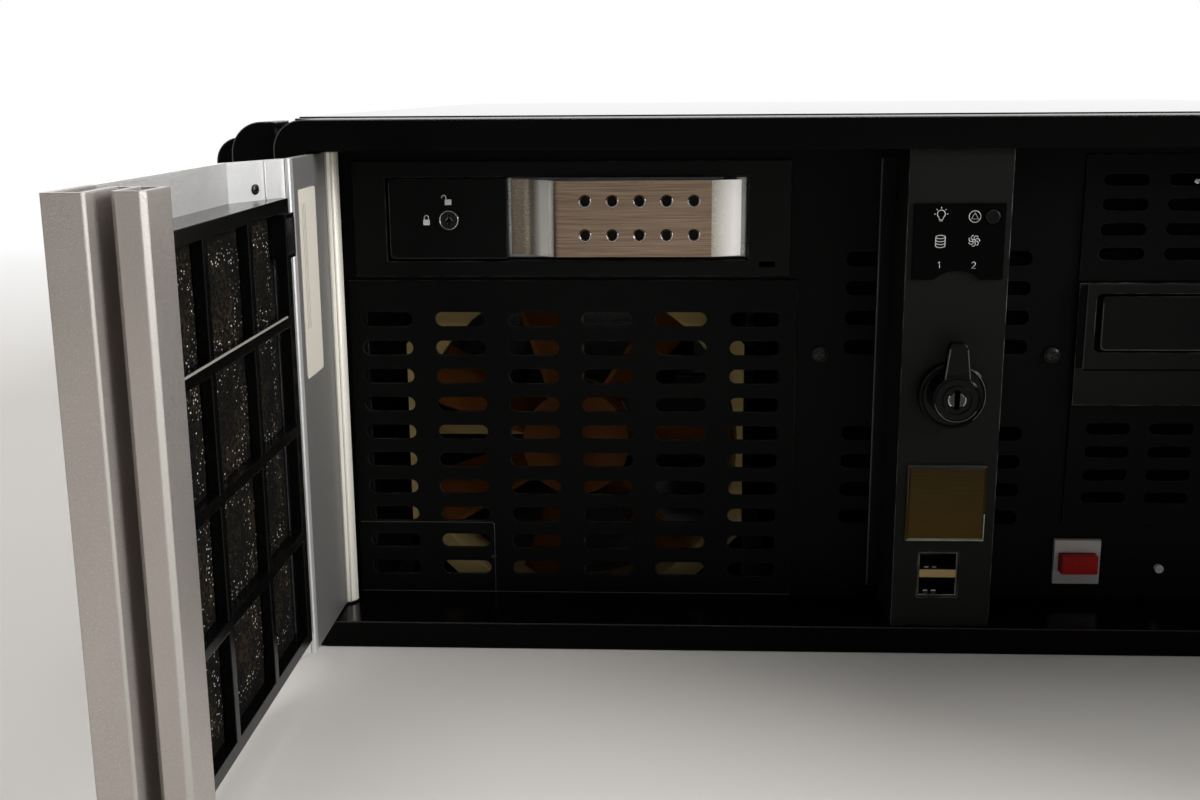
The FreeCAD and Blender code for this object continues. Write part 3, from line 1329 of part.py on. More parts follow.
def switches():
    """The reset and power switches and the signal lamp."""
    surrounds = []
    for name in ("reset", "power"):
        across = centred(name + "_x", "switch_size")
        upright = centred("switch_z", "switch_size")
        face_y = ("panel_setback - switch_proud", "panel_setback")
        plate = box(name + "Plate", across, face_y, upright)
        hole_x = centred(name + "_x", "cap_width + 2 * button_gap")
        hole_z = centred("switch_z", "cap_height + 2 * button_gap")
        hole = box(name + "Hole", hole_x, (face_y[0] + " - overcut", face_y[1] + " + overcut"), hole_z)
        surrounds.append(cut(name + "Surround", plate, hole))
        front = "panel_setback - switch_proud - cap_proud"
        cap_y = (front, front + " + cap_length")
        cap = box(name + "Cap", centred(name + "_x", "cap_width"), cap_y, centred("switch_z", "cap_height"))
        node(name + "_button", cap)
    node("switch_surrounds", group("SwitchSurrounds", surrounds))
    lamp_y = ("panel_setback - lamp_radius", "panel_setback - lamp_radius + lamp_length")
    node("status_lamp", rod("Lamp", "y", ("lamp_x", "lamp_z"), "lamp_radius", lamp_y))


def fan(name, size, middle, front):
    """A square fan: the frame with its bearing boss on struts, and the bladed rotor."""
    low = centred(middle[0], size)
    upright = centred(middle[1], size)
    back = front + " + fan_depth"
    hub = size + " * fan_hub_share / 2"
    shell = box(name + "Shell", low, (front, back), upright)
    through = (front + " - overcut", back + " + overcut")
    throat = rod(name + "Throat", "y", middle, size + " / 2 - fan_wall", through)
    tools = [throat]
    for across in low:
        for height in upright:
            sign_x = "+" if across == low[0] else "-"
            sign_z = "+" if height == upright[0] else "-"
            spot = (across + sign_x + " fan_hole_inset", height + sign_z + " fan_hole_inset")
            hole_name = name + "Hole" + str(len(tools))
            tools.append(rod(hole_name, "y", spot, "fan_hole_radius", through))
    boss_y = (back + " - fan_boss", back)
    boss = rod(name + "Boss", "y", middle, hub, boss_y)
    reach = size + " - 2 * fan_wall"
    level = box(name + "StrutLevel", centred(middle[0], reach), boss_y, centred(middle[1], "fan_strut"))
    strut_x = centred(middle[0], "fan_strut")
    upright_strut = box(name + "StrutUpright", strut_x, boss_y, centred(middle[1], reach))
    ring = cut(name + "Ring", shell, *tools)
    seat_y = (boss_y[0] + " - overcut", back + " + overcut")
    seat = rod(name + "Seat", "y", middle, "fan_shaft_radius + running_gap", seat_y)
    frame = cut(name + "Frame", join(name + "Spider", ring, boss, level, upright_strut), seat)
    rotor(name, size, middle, front, hub)
    return frame


def rotor(name, size, middle, front, hub):
    """A hub with lofted blades, on a shaft along Y."""
    body = doc.addObject("PartDesign::Body", name + "Rotor")
    depth = "fan_depth - fan_boss - 2 * fan_end_gap"
    root = "(%s) * hub_bite_share" % hub
    tip = "%s / 2 - fan_wall - fan_tip_gap" % size
    hub_sketch = circle(body, name + "Hub", "XY", "0", "0", hub)
    pad(body, hub_sketch, depth)
    shaft_length = depth + " + fan_end_gap + fan_boss"
    pad(body, circle(body, name + "Shaft", "XY", "0", "0", "fan_shaft_radius"), shaft_length)
    sections = []
    for label, radius, share in (("Root", root, "blade_root_share"), ("Tip", tip, "blade_tip_share")):
        chord = "(%s) * %s / 2" % (hub, share)
        blade = [
            ("-(%s)" % chord, "fan_end_gap"),
            ("fan_blade_sheet - (%s)" % chord, "fan_end_gap"),
            (chord, depth + " - fan_end_gap"),
            (chord + " - fan_blade_sheet", depth + " - fan_end_gap"),
        ]
        sections.append(outline(body, name + "Blade" + label, "YZ", blade, radius))
    loft = body.newObject("PartDesign::AdditiveLoft", name + "Loft")
    loft.Profile = sections[0]
    loft.Sections = [sections[1]]
    pattern = body.newObject("PartDesign::PolarPattern", name + "Blades")
    pattern.Originals = [loft]
    pattern.Axis = (hub_sketch, ["N_Axis"])
    pattern.Angle = 360
    pattern.setExpression("Occurrences", formula("fan_blades"))
    body.Tip = pattern
    body.Placement.Rotation = ALONG["y"]
    place(body, x=middle[0], y=front + " + fan_end_gap", z=middle[1])
    node(name + "_rotor", body)


def fans():
    """The front fan on the floor behind the grille and the two rear fans on the rear panel."""
    middle = ("bay_left", "sheet_steel + front_fan / 2")
    node("front_fan_frame", fan("front_fan", "front_fan", middle, "front_fan_setback"))
    rear_front = BACK + " - fan_depth"
    frames = []
    for side in ("left", "right"):
        middle = ("rear_fan_" + side, "rear_fan_z")
        frames.append(fan("rear_fan_" + side, "rear_fan", middle, rear_front))
    return frames


BOARD_LOW = "sheet_steel + standoff_height"
BOARD_TOP = "sheet_steel + standoff_height + board_sheet"


def board():
    """The motherboard on its standoffs, with its ports, memory, card and cooler."""
    across = ("board_left", "board_right")
    along = ("board_front", "board_back")
    plate = box("BoardPlate", across, along, (BOARD_LOW, BOARD_TOP))
    soldered = [plate]
    block_y = ("board_back - port_block_depth", "board_back + shield_sheet")
    for index in range(4):
        low = "shield_left + shield_width * (port_first_share + %d * port_pitch_share)" % index
        block_x = (low, low + " + shield_width * port_width_share")
        height = "port_block_height" if index % 2 == 0 else "port_block_height * port_low_share"
        soldered.append(box("PortBlock%d" % index, block_x, block_y, (BOARD_TOP, BOARD_TOP + " + " + height)))
    for index in range(4):
        socket_x = centred("slot_first + %d * slot_pitch" % index, "socket_width")
        socket_y = ("board_back - socket_length - slot_opening * 3", "board_back - slot_opening * 3")
        socket_z = (BOARD_TOP, BOARD_TOP + " + socket_height")
        soldered.append(box("CardSocket%d" % index, socket_x, socket_y, socket_z))
    sticks = []
    for index in range(2):
        middle = "memory_y + %d * memory_pitch" % index
        socket_x = centred("memory_x", "memory_length + socket_width")
        stick_x = centred("memory_x", "memory_length")
        rise = BOARD_TOP + " + socket_height / 2"
        socket_y = centred(middle, "socket_width")
        soldered.append(box("MemorySocket%d" % index, socket_x, socket_y, (BOARD_TOP, rise)))
        stick_z = (rise, rise + " + memory_height")
        sticks.append(box("Memory%d" % index, stick_x, centred(middle, "memory_sheet"), stick_z))
    base_x = centred("cooler_x", "cooler_base")
    base_y = centred("cooler_y", "cooler_base")
    soldered.append(box("ProcessorSocket", base_x, base_y, (BOARD_TOP, BOARD_TOP + " + cooler_socket")))
    node("motherboard", join("Motherboard", *soldered))
    node("memory_modules", group("MemoryModules", sticks))
    posts = []
    for index in range(9):
        column, level = index % 3, index // 3
        spot_x = "board_left + standoff_inset + %d * (board_size - 2 * standoff_inset) / 2" % column
        spot_y = "board_front + standoff_inset + %d * (board_size - 2 * standoff_inset) / 2" % level
        post_z = ("sheet_steel", BOARD_LOW)
        posts.append(rod("Standoff%d" % index, "z", (spot_x, spot_y), "standoff_radius", post_z))
    node("standoffs", group("Standoffs", posts))
    port_shield()
    cards()
    return cooler()


def port_shield():
    """The thin shield in the rear opening, cut out round the port blocks."""
    low = BOARD_TOP + " - shield_drop"
    inset = "bracket_gap"
    across = ("shield_left + " + inset, "shield_left + shield_width - " + inset)
    upright = (low + " + " + inset, low + " + shield_height - " + inset)
    plate = box("ShieldPlate", across, (BACK, BACK + " + shield_sheet"), upright)
    tools = []
    for index in range(4):
        start = "shield_left + shield_width * (port_first_share + %d * port_pitch_share)" % index
        height = "port_block_height" if index % 2 == 0 else "port_block_height * port_low_share"
        hole_x = (start + " - bracket_gap", start + " + shield_width * port_width_share + bracket_gap")
        hole_z = (BOARD_TOP, BOARD_TOP + " + bracket_gap + " + height)
        hole_y = (BACK + " - overcut", BACK + " + shield_sheet + overcut")
        tools.append(box("PortHole%d" % index, hole_x, hole_y, hole_z))
    node("port_shield", cut("PortShield", plate, *tools))


def cards():
    """The expansion card with its bracket, and the blank covers of the other slots."""
    plate_y = (BACK + " - sheet_steel", BACK)
    plate_z = ("slot_low - slot_bracket_margin", "slot_high + slot_bracket_margin")
    blanks = []
    for index in range(4):
        plate_x = centred("slot_first + %d * slot_pitch" % index, "slot_bracket")
        blanks.append(box("SlotCover%d" % index, plate_x, plate_y, plate_z))
    low = BOARD_TOP + " + socket_height"
    edge_x = centred("slot_first", "board_sheet")
    edge_y = (plate_y[0] + " - card_length", plate_y[0])
    panel = box("CardPanel", edge_x, edge_y, (low, low + " + card_height"))
    node("expansion_card", join("ExpansionCard", blanks[0], panel))
    node("slot_covers", group("SlotCovers", blanks[1:]))


def cooler():
    """The tower cooler: base, heat pipes and a stack of fins, with a fan in front."""
    low = BOARD_TOP + " + cooler_socket"
    top = low + " + cooler_first_fin + cooler_fins * cooler_fin_pitch"
    base_x = centred("cooler_x", "cooler_base")
    base_y = centred("cooler_y", "cooler_base")
    base = box("CoolerBase", base_x, base_y, (low, low + " + cooler_base_height"))
    pipes = []
    for name, sign in (("PipeLeft", "-"), ("PipeRight", "+")):
        spot = ("cooler_x %s cooler_pipe_spread / 2" % sign, "cooler_y")
        pipes.append(rod(name, "z", spot, "cooler_pipe_radius", (low, top)))
    body = doc.addObject("PartDesign::Body", "CoolerFins")
    sheet_x = centred("0", "cooler_width")
    sheet_y = centred("0", "cooler_depth")
    pad(body, outline(body, "Fin", "XY", rectangle(sheet_x, sheet_y)), "cooler_fin")
    place(body, x="cooler_x", y="cooler_y", z=low + " + cooler_first_fin")
    stack = doc.addObject("Part::Feature", "FinStack")
    doc.recompute()
    count = int(sheet.get("cooler_fins"))
    pitch = sheet.get("cooler_fin_pitch")
    copies = [body.Shape.translated(FreeCAD.Vector(0, 0, pitch * step)) for step in range(count)]
    stack.Shape = Part.makeCompound(copies)
    node("processor_cooler", join("ProcessorCooler", base, stack, *pipes))
    front = "cooler_y - cooler_depth / 2 - fan_depth"
    middle = ("cooler_x", low + " + cooler_first_fin + cooler_fins * cooler_fin_pitch / 2")
    return fan("processor_fan", "cooler_fan", middle, front)


def power_supply():
    """The power supply's box with its fan, mains inlet and rocker switch."""
    across = ("supply_left", "supply_right")
    along = (BACK + " - supply_length", BACK)
    upright = ("sheet_steel", "sheet_steel + supply_height")
    shell = box("SupplyShell", across, along, upright)
    hollow_x = (across[0] + " + supply_sheet", across[1] + " - supply_sheet")
    hollow_y = (along[0] + " + supply_sheet", along[1] + " - supply_sheet")
    hollow_z = (upright[0] + " + supply_sheet", upright[1] + " - supply_sheet")
    hollow = box("SupplyHollow", hollow_x, hollow_y, hollow_z)
    wall_y = (hollow_y[1] + " - overcut", along[1] + " + overcut")
    fan_spot = ("supply_fan_x", "sheet_steel + supply_height / 2")
    inlet_x = centred("inlet_x", "inlet_width")
    inlet_z = centred("inlet_z", "inlet_height")
    rocker_x = centred("rocker_x", "rocker_width")
    rocker_z = centred("rocker_z", "rocker_height")
    tools = [
        hollow,
        rod("SupplyFanHole", "y", fan_spot, "supply_fan / 2 - fan_wall", wall_y),
        box("InletHole", inlet_x, wall_y, inlet_z),
        box("RockerHole", rocker_x, wall_y, rocker_z),
    ]
    node("power_supply", cut("PowerSupply", shell, *tools))
    frame = fan("supply_fan", "supply_fan", fan_spot, hollow_y[1] + " - fan_depth")
    sockets = [mains_inlet(inlet_x, inlet_z), rocker(rocker_x, rocker_z)]
    node("mains_sockets", group("MainsSockets", sockets))
    return frame


def mains_inlet(across, upright):
    """A three-pin appliance inlet, open to the back."""
    depth = (BACK + " - inlet_depth", BACK)
    shell = box("InletShell", across, depth, upright)
    hollow_x = (across[0] + " + inlet_wall", across[1] + " - inlet_wall")
    hollow_y = (depth[0] + " + inlet_wall", depth[1] + " + overcut")
    hollow_z = (upright[0] + " + inlet_wall", upright[1] + " - inlet_wall")
    socket = cut("InletSocket", shell, box("InletHollow", hollow_x, hollow_y, hollow_z))
    pin_y = (hollow_y[0], BACK + " - inlet_wall")
    pins = []
    for index, rise in ((-1, "-"), (0, "+"), (1, "-")):
        pin_x = centred("inlet_x + %d * inlet_pin_pitch" % index, "inlet_pin_sheet")
        pin_z = centred("inlet_z %s inlet_pin / 2" % rise, "inlet_pin")
        pins.append(box("InletPin%d" % (index + 1), pin_x, pin_y, pin_z))
    return join("MainsInlet", socket, *pins)


def rocker(across, upright):
    """The mains switch: a housing in the rear wall and a rocker that tips in it."""
    depth = (BACK + " - rocker_depth", BACK)
    shell = box("RockerShell", across, depth, upright)
    hollow_x = (across[0] + " + rocker_wall", across[1] + " - rocker_wall")
    hollow_y = (depth[0] + " + rocker_wall", depth[1] + " + overcut")
    hollow_z = (upright[0] + " + rocker_wall", upright[1] + " - rocker_wall")
    housing = cut("RockerHousing", shell, box("RockerHollow", hollow_x, hollow_y, hollow_z))
    key_x = (hollow_x[0] + " + rocker_gap", hollow_x[1] + " - rocker_gap")
    half = "(rocker_height / 2 - rocker_wall - 3 * rocker_gap)"
    low = "rocker_z - " + half
    high = "rocker_z + " + half
    face = BACK + " - rocker_depth / 2"
    crown = [
        (face, low),
        (BACK, low),
        (BACK + " - rocker_crown", "rocker_z"),
        (BACK, high),
        (face, high),
    ]
    node("rocker_switch", prism("RockerKey", "YZ", crown, key_x))
    return housing


def check_and_write():
    """Stop on any failed object or bad solid, then write each sub-part."""
    doc.recompute()
    for item in doc.Objects:
        if "Invalid" in item.State or "Error" in item.State:
            raise RuntimeError("%s failed: %s" % (item.Name, item.State))
    os.makedirs("parts", exist_ok=True)
    for name, piece in nodes.items():
        shape = piece.Shape
        if shape.isNull() or not shape.isValid() or not shape.Solids:
            raise RuntimeError(name + " has no valid solid")
        shape.exportStep("parts/%s.step" % name)
    print(len(nodes), "sub-parts")


chassis()
front_frame()
hinge_pins()
doors()
pillar()
bays()
drive_rack()
disc_drive()
switches()
small_frames = fans() + [board(), power_supply()]
node("small_fan_frames", group("SmallFanFrames", small_frames))
check_and_write()
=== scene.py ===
"""Looks of the rackmount computer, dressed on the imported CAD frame.

The scene is in metres, with +Y to the back and +Z up. Pieces are placed and sized in millimetres.
"""
import json
import math
import random

import bmesh
import bpy
from mathutils import Matrix, Vector, noise


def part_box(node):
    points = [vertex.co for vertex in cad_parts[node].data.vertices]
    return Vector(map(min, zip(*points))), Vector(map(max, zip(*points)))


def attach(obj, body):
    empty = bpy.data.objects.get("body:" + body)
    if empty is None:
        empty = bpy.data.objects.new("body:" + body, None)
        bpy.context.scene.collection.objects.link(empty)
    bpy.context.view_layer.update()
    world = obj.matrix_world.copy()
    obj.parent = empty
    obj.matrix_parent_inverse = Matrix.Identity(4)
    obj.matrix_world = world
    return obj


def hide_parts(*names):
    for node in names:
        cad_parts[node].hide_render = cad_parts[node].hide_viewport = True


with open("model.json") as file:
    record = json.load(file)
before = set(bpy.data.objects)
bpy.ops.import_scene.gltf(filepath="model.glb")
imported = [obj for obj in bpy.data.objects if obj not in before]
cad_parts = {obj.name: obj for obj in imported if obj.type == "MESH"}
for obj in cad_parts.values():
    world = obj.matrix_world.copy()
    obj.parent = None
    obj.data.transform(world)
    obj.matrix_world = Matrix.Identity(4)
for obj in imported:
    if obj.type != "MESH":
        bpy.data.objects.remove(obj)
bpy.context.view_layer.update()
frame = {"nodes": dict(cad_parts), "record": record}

MM = 0.001
scene = bpy.context.scene
X_AXIS = Vector((1, 0, 0))
Y_AXIS = Vector((0, 1, 0))
Z_AXIS = Vector((0, 0, 1))
SIDES = ("left", "right")
# What is on the right mirrors what is on the left.
HAND = {"left": 1, "right": -1}


# Shader nodes

# Numbers of a mix node's colour sockets, whose names other sockets share.
MIX_FIRST = 6
MIX_SECOND = 7
MIX_RESULT = 2


def fresh(name):
    """A new material with its node tree and its shader."""
    material = bpy.data.materials.new(name + "_finish")
    material.use_nodes = True
    tree = material.node_tree
    return material, tree, tree.nodes["Principled BSDF"]


def feed(target, inputs):
    """Inputs of a node, each linked to a socket or set to a value."""
    for key, value in inputs.items():
        socket = target.inputs[key]
        if isinstance(value, bpy.types.NodeSocket):
            target.id_data.links.new(value, socket)
        elif socket.type == "RGBA":
            socket.default_value = (*value, 1)
        else:
            socket.default_value = value


def node(near, kind, output, inputs, **settings):
    """One output of a new node, made in the same tree as something near it."""
    made = near.id_data.nodes.new("ShaderNode" + kind)
    for name, value in settings.items():
        setattr(made, name, value)
    feed(made, inputs)
    return made.outputs[output]


def spot(tree, stretch=None):
    """Object coordinates, stretched along the axes if asked."""
    place = node(tree, "TexCoord", "Object", {})
    if stretch is None:
        return place
    return node(tree, "Mapping", "Vector", {"Vector": place, "Scale": stretch})


def axis(vector, letter):
    """One of the three parts of a vector."""
    return node(vector, "SeparateXYZ", letter, {"Vector": vector})


def grain(where, scale, detail=3.0):
    """A noise over the surface, from 0 to 1. The scale is in cells per metre."""
    return node(where, "TexNoise", "Fac", {"Vector": where, "Scale": scale, "Detail": detail})


def crystals(where, scale):
    """Cells side by side: the distance from the middle of each, and its own chance."""
    cells = where.id_data.nodes.new("ShaderNodeTexVoronoi")
    feed(cells, {"Vector": where, "Scale": scale})
    chance = node(where, "SeparateColor", "Red", {"Color": cells.outputs["Color"]})
    return cells.outputs["Distance"], chance


def rise(value, start, end):
    """A mask that rises from 0 to 1 between two values."""
    return node(value, "MapRange", "Result", {"Value": value, "From Min": start, "From Max": end})


def ramp(value):
    """A noise spread from the middle of its range to the whole of 0 to 1."""
    return rise(value, 0.3, 0.7)


def grey(level):
    """A colour without a hue, which also serves as a plain number in a mix."""
    return (level,) * 3


def blend(mask, first, second):
    """Two colours or colour sockets mixed by a mask."""
    inputs = {"Factor": mask, MIX_FIRST: first, MIX_SECOND: second}
    return node(mask, "Mix", MIX_RESULT, inputs, data_type="RGBA")


def layers(colour, coats):
    """A colour with others laid over it in turn, each through its mask."""
    for mask, coat in coats:
        colour = blend(mask, colour, coat)
    return colour


def bands(value, stops):
    """Colours laid along a value from 0 to 1, each at its place."""
    colours = value.id_data.nodes.new("ShaderNodeValToRGB")
    marks = colours.color_ramp.elements
    while len(marks) < len(stops):
        marks.new(0.5)
    for mark, (place, colour) in zip(marks, stops):
        mark.position = place
        mark.color = (*colour, 1)
    feed(colours, {"Fac": value})
    return colours.outputs["Color"]


def times(first, second):
    """The product of two values."""
    return node(first, "Math", "Value", {0: first, 1: second}, operation="MULTIPLY")


def larger(first, second):
    """The larger of two values."""
    return node(first, "Math", "Value", {0: first, 1: second}, operation="MAXIMUM")


def agreement(first, second):
    """How far two directions agree: 1 where they are the same, 0 where they are square."""
    return node(first, "VectorMath", "Value", {0: first, 1: second}, operation="DOT_PRODUCT")


def true_normal(near):
    """The direction that the bare surface faces."""
    return node(near, "NewGeometry", "Normal", {})


def soft_edges(tree, radius, samples=4):
    """Normals that round the edges over a radius in metres."""
    return node(tree, "Bevel", "Normal", {"Radius": radius}, samples=samples)


def edge_mask(normal):
    """A mask that is 1 on the rounded edges and 0 on flat faces."""
    return rise(agreement(normal, true_normal(normal)), 0.995, 0.86)


def relief(height, depth, normal=None):
    """A bump of a depth in metres."""
    inputs = {"Strength": 1.0, "Distance": depth, "Height": height}
    if normal is not None:
        inputs["Normal"] = normal
    return node(height, "Bump", "Normal", inputs)


def repaint(material, name, mask, value):
    """A finish with one input of its shader changed to another value through a mask."""
    socket = material.node_tree.nodes["Principled BSDF"].inputs[name]
    material.node_tree.links.new(blend(mask, socket.links[0].from_socket, value), socket)
    return material


# Finishes

EDGE_WEAR_AND_HIGHLIGHT_CELLS = 160.0
FLECK_CELLS = 620.0
DUST = (0.16, 0.155, 0.14)
BLACK = (0.0011, 0.0011, 0.0011)
SOFT_BLACK = (0.0022, 0.0021, 0.0020)
CHARCOAL = (0.006, 0.0059, 0.0055)


def surface(name, dark, light, rough, metallic=0.0, cells=900, depth=0.04, round_edge=0.5, stretch=None,
            wear=None, dust=0.0, coat=0.0, specular=0.5, patch=14):
    """A finish whose colour, gloss and relief vary, with soft edges, settled dust and a pale edge colour
    that is partly worn paint and partly painted highlight.

    Cells and patches are counted per metre. The depth and the round edge are in millimetres.
    """
    material, tree, shader = fresh(name)
    where = spot(tree)
    fine = grain(spot(tree, stretch), cells)
    normal = soft_edges(tree, round_edge * MM)
    coats = []
    # Pale edge colour: partly worn edges and partly a painted highlight along them.
    if wear is not None:
        uneven = rise(grain(where, EDGE_WEAR_AND_HIGHLIGHT_CELLS), 0.42, 0.62)
        coats.append((times(edge_mask(normal), uneven), wear))
    if dust:
        flecks = rise(grain(where, FLECK_CELLS, 1.0), 0.79 - dust, 0.82 - dust)
        coats.append((flecks, DUST))
    colour = blend(ramp(grain(where, patch)), dark, light)
    feed(shader, {
        "Base Color": layers(colour, coats),
        "Roughness": blend(ramp(fine), grey(rough[0]), grey(rough[1])),
        "Normal": relief(fine, depth * MM, normal),
        "Metallic": metallic,
        "Specular IOR Level": specular,
        "Coat Weight": coat,
        "Coat Roughness": 0.06,
    })
    return material


def foam_finish():
    """Open-cell foam: pores darkened as painted shade, brownish dust, and painted glints on some cells."""
    material, tree, shader = fresh("foam")
    where = spot(tree)
    pores = crystals(where, 760.0)[0]
    distance, chance = crystals(spot(tree, (1.0, 0.6, 1.0)), 1150.0)
    dusty = rise(grain(where, 60.0), 0.45, 0.72)
    # The dark pores are painted shade, and the pale spots are painted glints.
    walls = rise(pores, 0.42, 0.62)
    glint = times(rise(distance, 0.34, 0.2), rise(chance, 0.66, 0.98))
    colour = blend(dusty, (0.0036, 0.003, 0.0022), (0.022, 0.0145, 0.0065))
    colour = blend(walls, (0.0015, 0.0015, 0.0014), colour)
    feed(shader, {
        "Base Color": blend(glint, colour, (0.5, 0.48, 0.44)),
        "Roughness": 0.85,
        "Specular IOR Level": 0.08,
        "Normal": relief(pores, 1.2 * MM),
    })
    return material


# Where the parts of the door's section begin and end, from the rail at its front to the hinge bar.
RAIL_Y = -166.0 * MM
# Where the painted glints on the door grow stronger, towards the hinge.
SPARKLE_Y = -95.0 * MM
SLANT_START_Y = -78.2 * MM
LEAF_END_Y = -51.2 * MM
BAR_START_Y = -6.4 * MM


def door_finish():
    """Blasted aluminium with painted glints near the hinge, rails painted as shade and warm reflection, a
    leaf painted dark as a reflection, a bare hinge bar painted bright and warm as a highlight, and painted
    shade on chamfers and edges.
    """
    material, tree, shader = fresh("door")
    where = spot(tree)
    y = axis(where, "Y")
    broad = ramp(grain(where, 22.0))
    beads = grain(where, 2400.0, 2.0)
    rails = rise(y, RAIL_Y + 2 * MM, RAIL_Y)
    slant = rise(y, SLANT_START_Y, SLANT_START_Y + 0.6 * MM)
    leaf = rise(y, LEAF_END_Y, LEAF_END_Y + 0.4 * MM)
    bar = rise(y, BAR_START_Y, BAR_START_Y + 0.8 * MM)
    painted_sparkle = rise(grain(where, 3800.0, 1.0), 0.6, 0.72)
    near_hinge = blend(rise(y, SPARKLE_Y, SPARKLE_Y + 10 * MM), grey(0.3), grey(1.0))
    normal = soft_edges(tree, 0.6 * MM)
    facing = true_normal(tree)
    product = times(axis(facing, "X"), axis(facing, "Y"))
    sideways = node(product, "Math", "Value", {0: product}, operation="ABSOLUTE")
    chamfer_shade = times(rise(sideways, 0.3, 0.42), rails)
    skin = blend(broad, (0.80, 0.785, 0.775), (0.88, 0.865, 0.855))
    colour = layers(skin, (
        # Painted shade and a warm painted reflection on the rails.
        (rails, blend(broad, (0.44, 0.40, 0.375), (0.50, 0.455, 0.425))),
        (slant, (0.80, 0.80, 0.795)),
        # Painted glints, stronger near the hinge.
        (times(painted_sparkle, near_hinge), grey(0.95)),
        # The leaf painted dark as a painted reflection of the dark case.
        (leaf, (0.33, 0.32, 0.31)),
        # The hinge bar painted bright and warm as a painted highlight and warm reflection.
        (bar, (0.95, 0.91, 0.81)),
        # Painted shade on the rails' chamfers.
        (chamfer_shade, (0.36, 0.345, 0.32)),
        # Painted shade on the rounded edges.
        (edge_mask(normal), (0.42, 0.41, 0.39)),
    ))
    gloss = blend(ramp(beads), grey(0.38), grey(0.54))
    feed(shader, {
        "Base Color": colour,
        "Metallic": blend(bar, grey(0.85), grey(0.4)),
        "Roughness": blend(bar, gloss, grey(0.4)),
        "Normal": relief(beads, 0.04 * MM, normal),
    })
    return material


# How far the handle's two bends reach in from its ends.
HANDLE_BEND = 15.2 * MM
HANDLE_TURN = 10.0 * MM


def handle_finish():
    """Brushed steel along the flat of the handle, coloured warm as a painted reflection, and blasted at its
    two bends, which carry painted bands of highlight and shade and painted glints.
    """
    material, tree, shader = fresh("handle")
    where = spot(tree)
    x = axis(where, "X")
    low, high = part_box("drive_handle")
    start = low.x + HANDLE_BEND
    end = high.x - HANDLE_TURN
    fade = 0.1 * MM
    left = rise(x, start - fade, start + fade)
    middle = times(left, rise(x, end + fade, end - fade))
    lines = grain(spot(tree, (16.0, 700.0, 700.0)), 3.2, 4.0)
    beads = grain(where, 3200.0)
    # The warm colour of the flat is a painted reflection.
    brushed_reflection = blend(ramp(lines), (0.207, 0.148, 0.102), (0.37, 0.275, 0.20))
    # Painted bands of highlight and shade across the bend and the turn.
    bend = bands(rise(x, low.x, start), (
        (0.0, (0.40, 0.33, 0.24)),
        (0.35, (0.32, 0.265, 0.20)),
        (0.52, (0.26, 0.24, 0.21)),
        (0.70, (0.95, 0.95, 0.93)),
        (0.84, (0.92, 0.92, 0.90)),
        (0.97, (0.42, 0.41, 0.40)),
    ))
    turn = bands(rise(x, end, high.x), (
        (0.0, (0.30, 0.27, 0.215)),
        (0.75, (0.97, 0.96, 0.94)),
    ))
    # Painted glints on the bends.
    painted_glitter = times(rise(grain(where, 3600.0, 1.0), 0.58, 0.72), 0.7)
    ends = blend(painted_glitter, blend(left, bend, turn), (0.95, 0.94, 0.92))
    normal = soft_edges(tree, blend(left, grey(0.15 * MM), grey(0.2 * MM)), samples=6)
    feed(shader, {
        "Base Color": blend(middle, ends, brushed_reflection),
        "Metallic": blend(middle, grey(0.9), grey(1.0)),
        "Roughness": blend(middle, grey(0.36), grey(0.30)),
        "Normal": relief(blend(middle, beads, lines), 0.06 * MM, normal),
    })
    return material


def badge_finish():
    """A clear dome over gold foil that darkens towards the top, with its cut edges painted as highlights,
    grey along the upper faces and pale green along the lower faces.
    """
    material, tree, shader = fresh("badge")
    low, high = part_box("badge_plate")
    height = rise(axis(spot(tree), "Z"), low.z, high.z)
    foil = blend(height, (0.055, 0.030, 0.002), (0.020, 0.014, 0.001))
    fibres = grain(spot(tree, (1.0, 1.0, 30.0)), 90.0)
    upward = axis(true_normal(tree), "Z")
    colour = layers(foil, (
        (times(rise(fibres, 0.4, 0.75), 0.6), (0.066, 0.040, 0.003)),
        # Painted highlights on the cut edges: grey on faces that look up, pale green on faces that look
        # down.
        (rise(upward, 0.25, 0.6), (0.035, 0.034, 0.03)),
        (rise(upward, -0.25, -0.6), (0.42, 0.47, 0.40)),
    ))
    feed(shader, {
        "Base Color": colour,
        "Metallic": 0.2,
        "Roughness": 0.3,
        "Specular IOR Level": 0.06,
        "Coat Weight": 0.05,
        "Coat Roughness": 0.04,
        "Normal": relief(fibres, 0.02 * MM),
    })
    return material


def board_finish():
    """Green lacquer over rows of copper tracks."""
    material, tree, shader = fresh("board")
    rows = {"Vector": spot(tree), "Scale": 160.0, "Distortion": 3.0, "Detail Scale": 0.4}
    tracks = node(tree, "TexWave", "Fac", rows)
    mask = rise(tracks, 0.6, 0.75)
    feed(shader, {
        "Base Color": blend(mask, (0.008, 0.07, 0.03), (0.03, 0.16, 0.07)),
        "Roughness": 0.35,
        "Normal": relief(tracks, 0.04 * MM),
    })
    return material


def frame_finish():
    """Glossy black moulding with painted highlights along its outer and upper edges, fainter near the floor.
    """
    material = surface("frame_plastic", BLACK, SOFT_BLACK, (0.13, 0.2), cells=1900, depth=0.02,
                       round_edge=1.1, specular=0.05)
    normal = soft_edges(material.node_tree, 0.7 * MM)
    where = spot(material.node_tree)
    # Painted highlights on the outer and upper rounded edges, weaker near the floor.
    outward = times(axis(normal, "X"), axis(where, "X"))
    upward = rise(axis(normal, "Z"), 0.15, 0.4)
    outer = larger(upward, rise(outward, 0.03, 0.09))
    highlight_strength = blend(rise(axis(where, "Z"), 20 * MM, 100 * MM), grey(0.2), grey(1.0))
    painted_edge_highlight = times(times(edge_mask(normal), outer), highlight_strength)
    return repaint(material, "Base Color", painted_edge_highlight, (0.4, 0.4, 0.39))


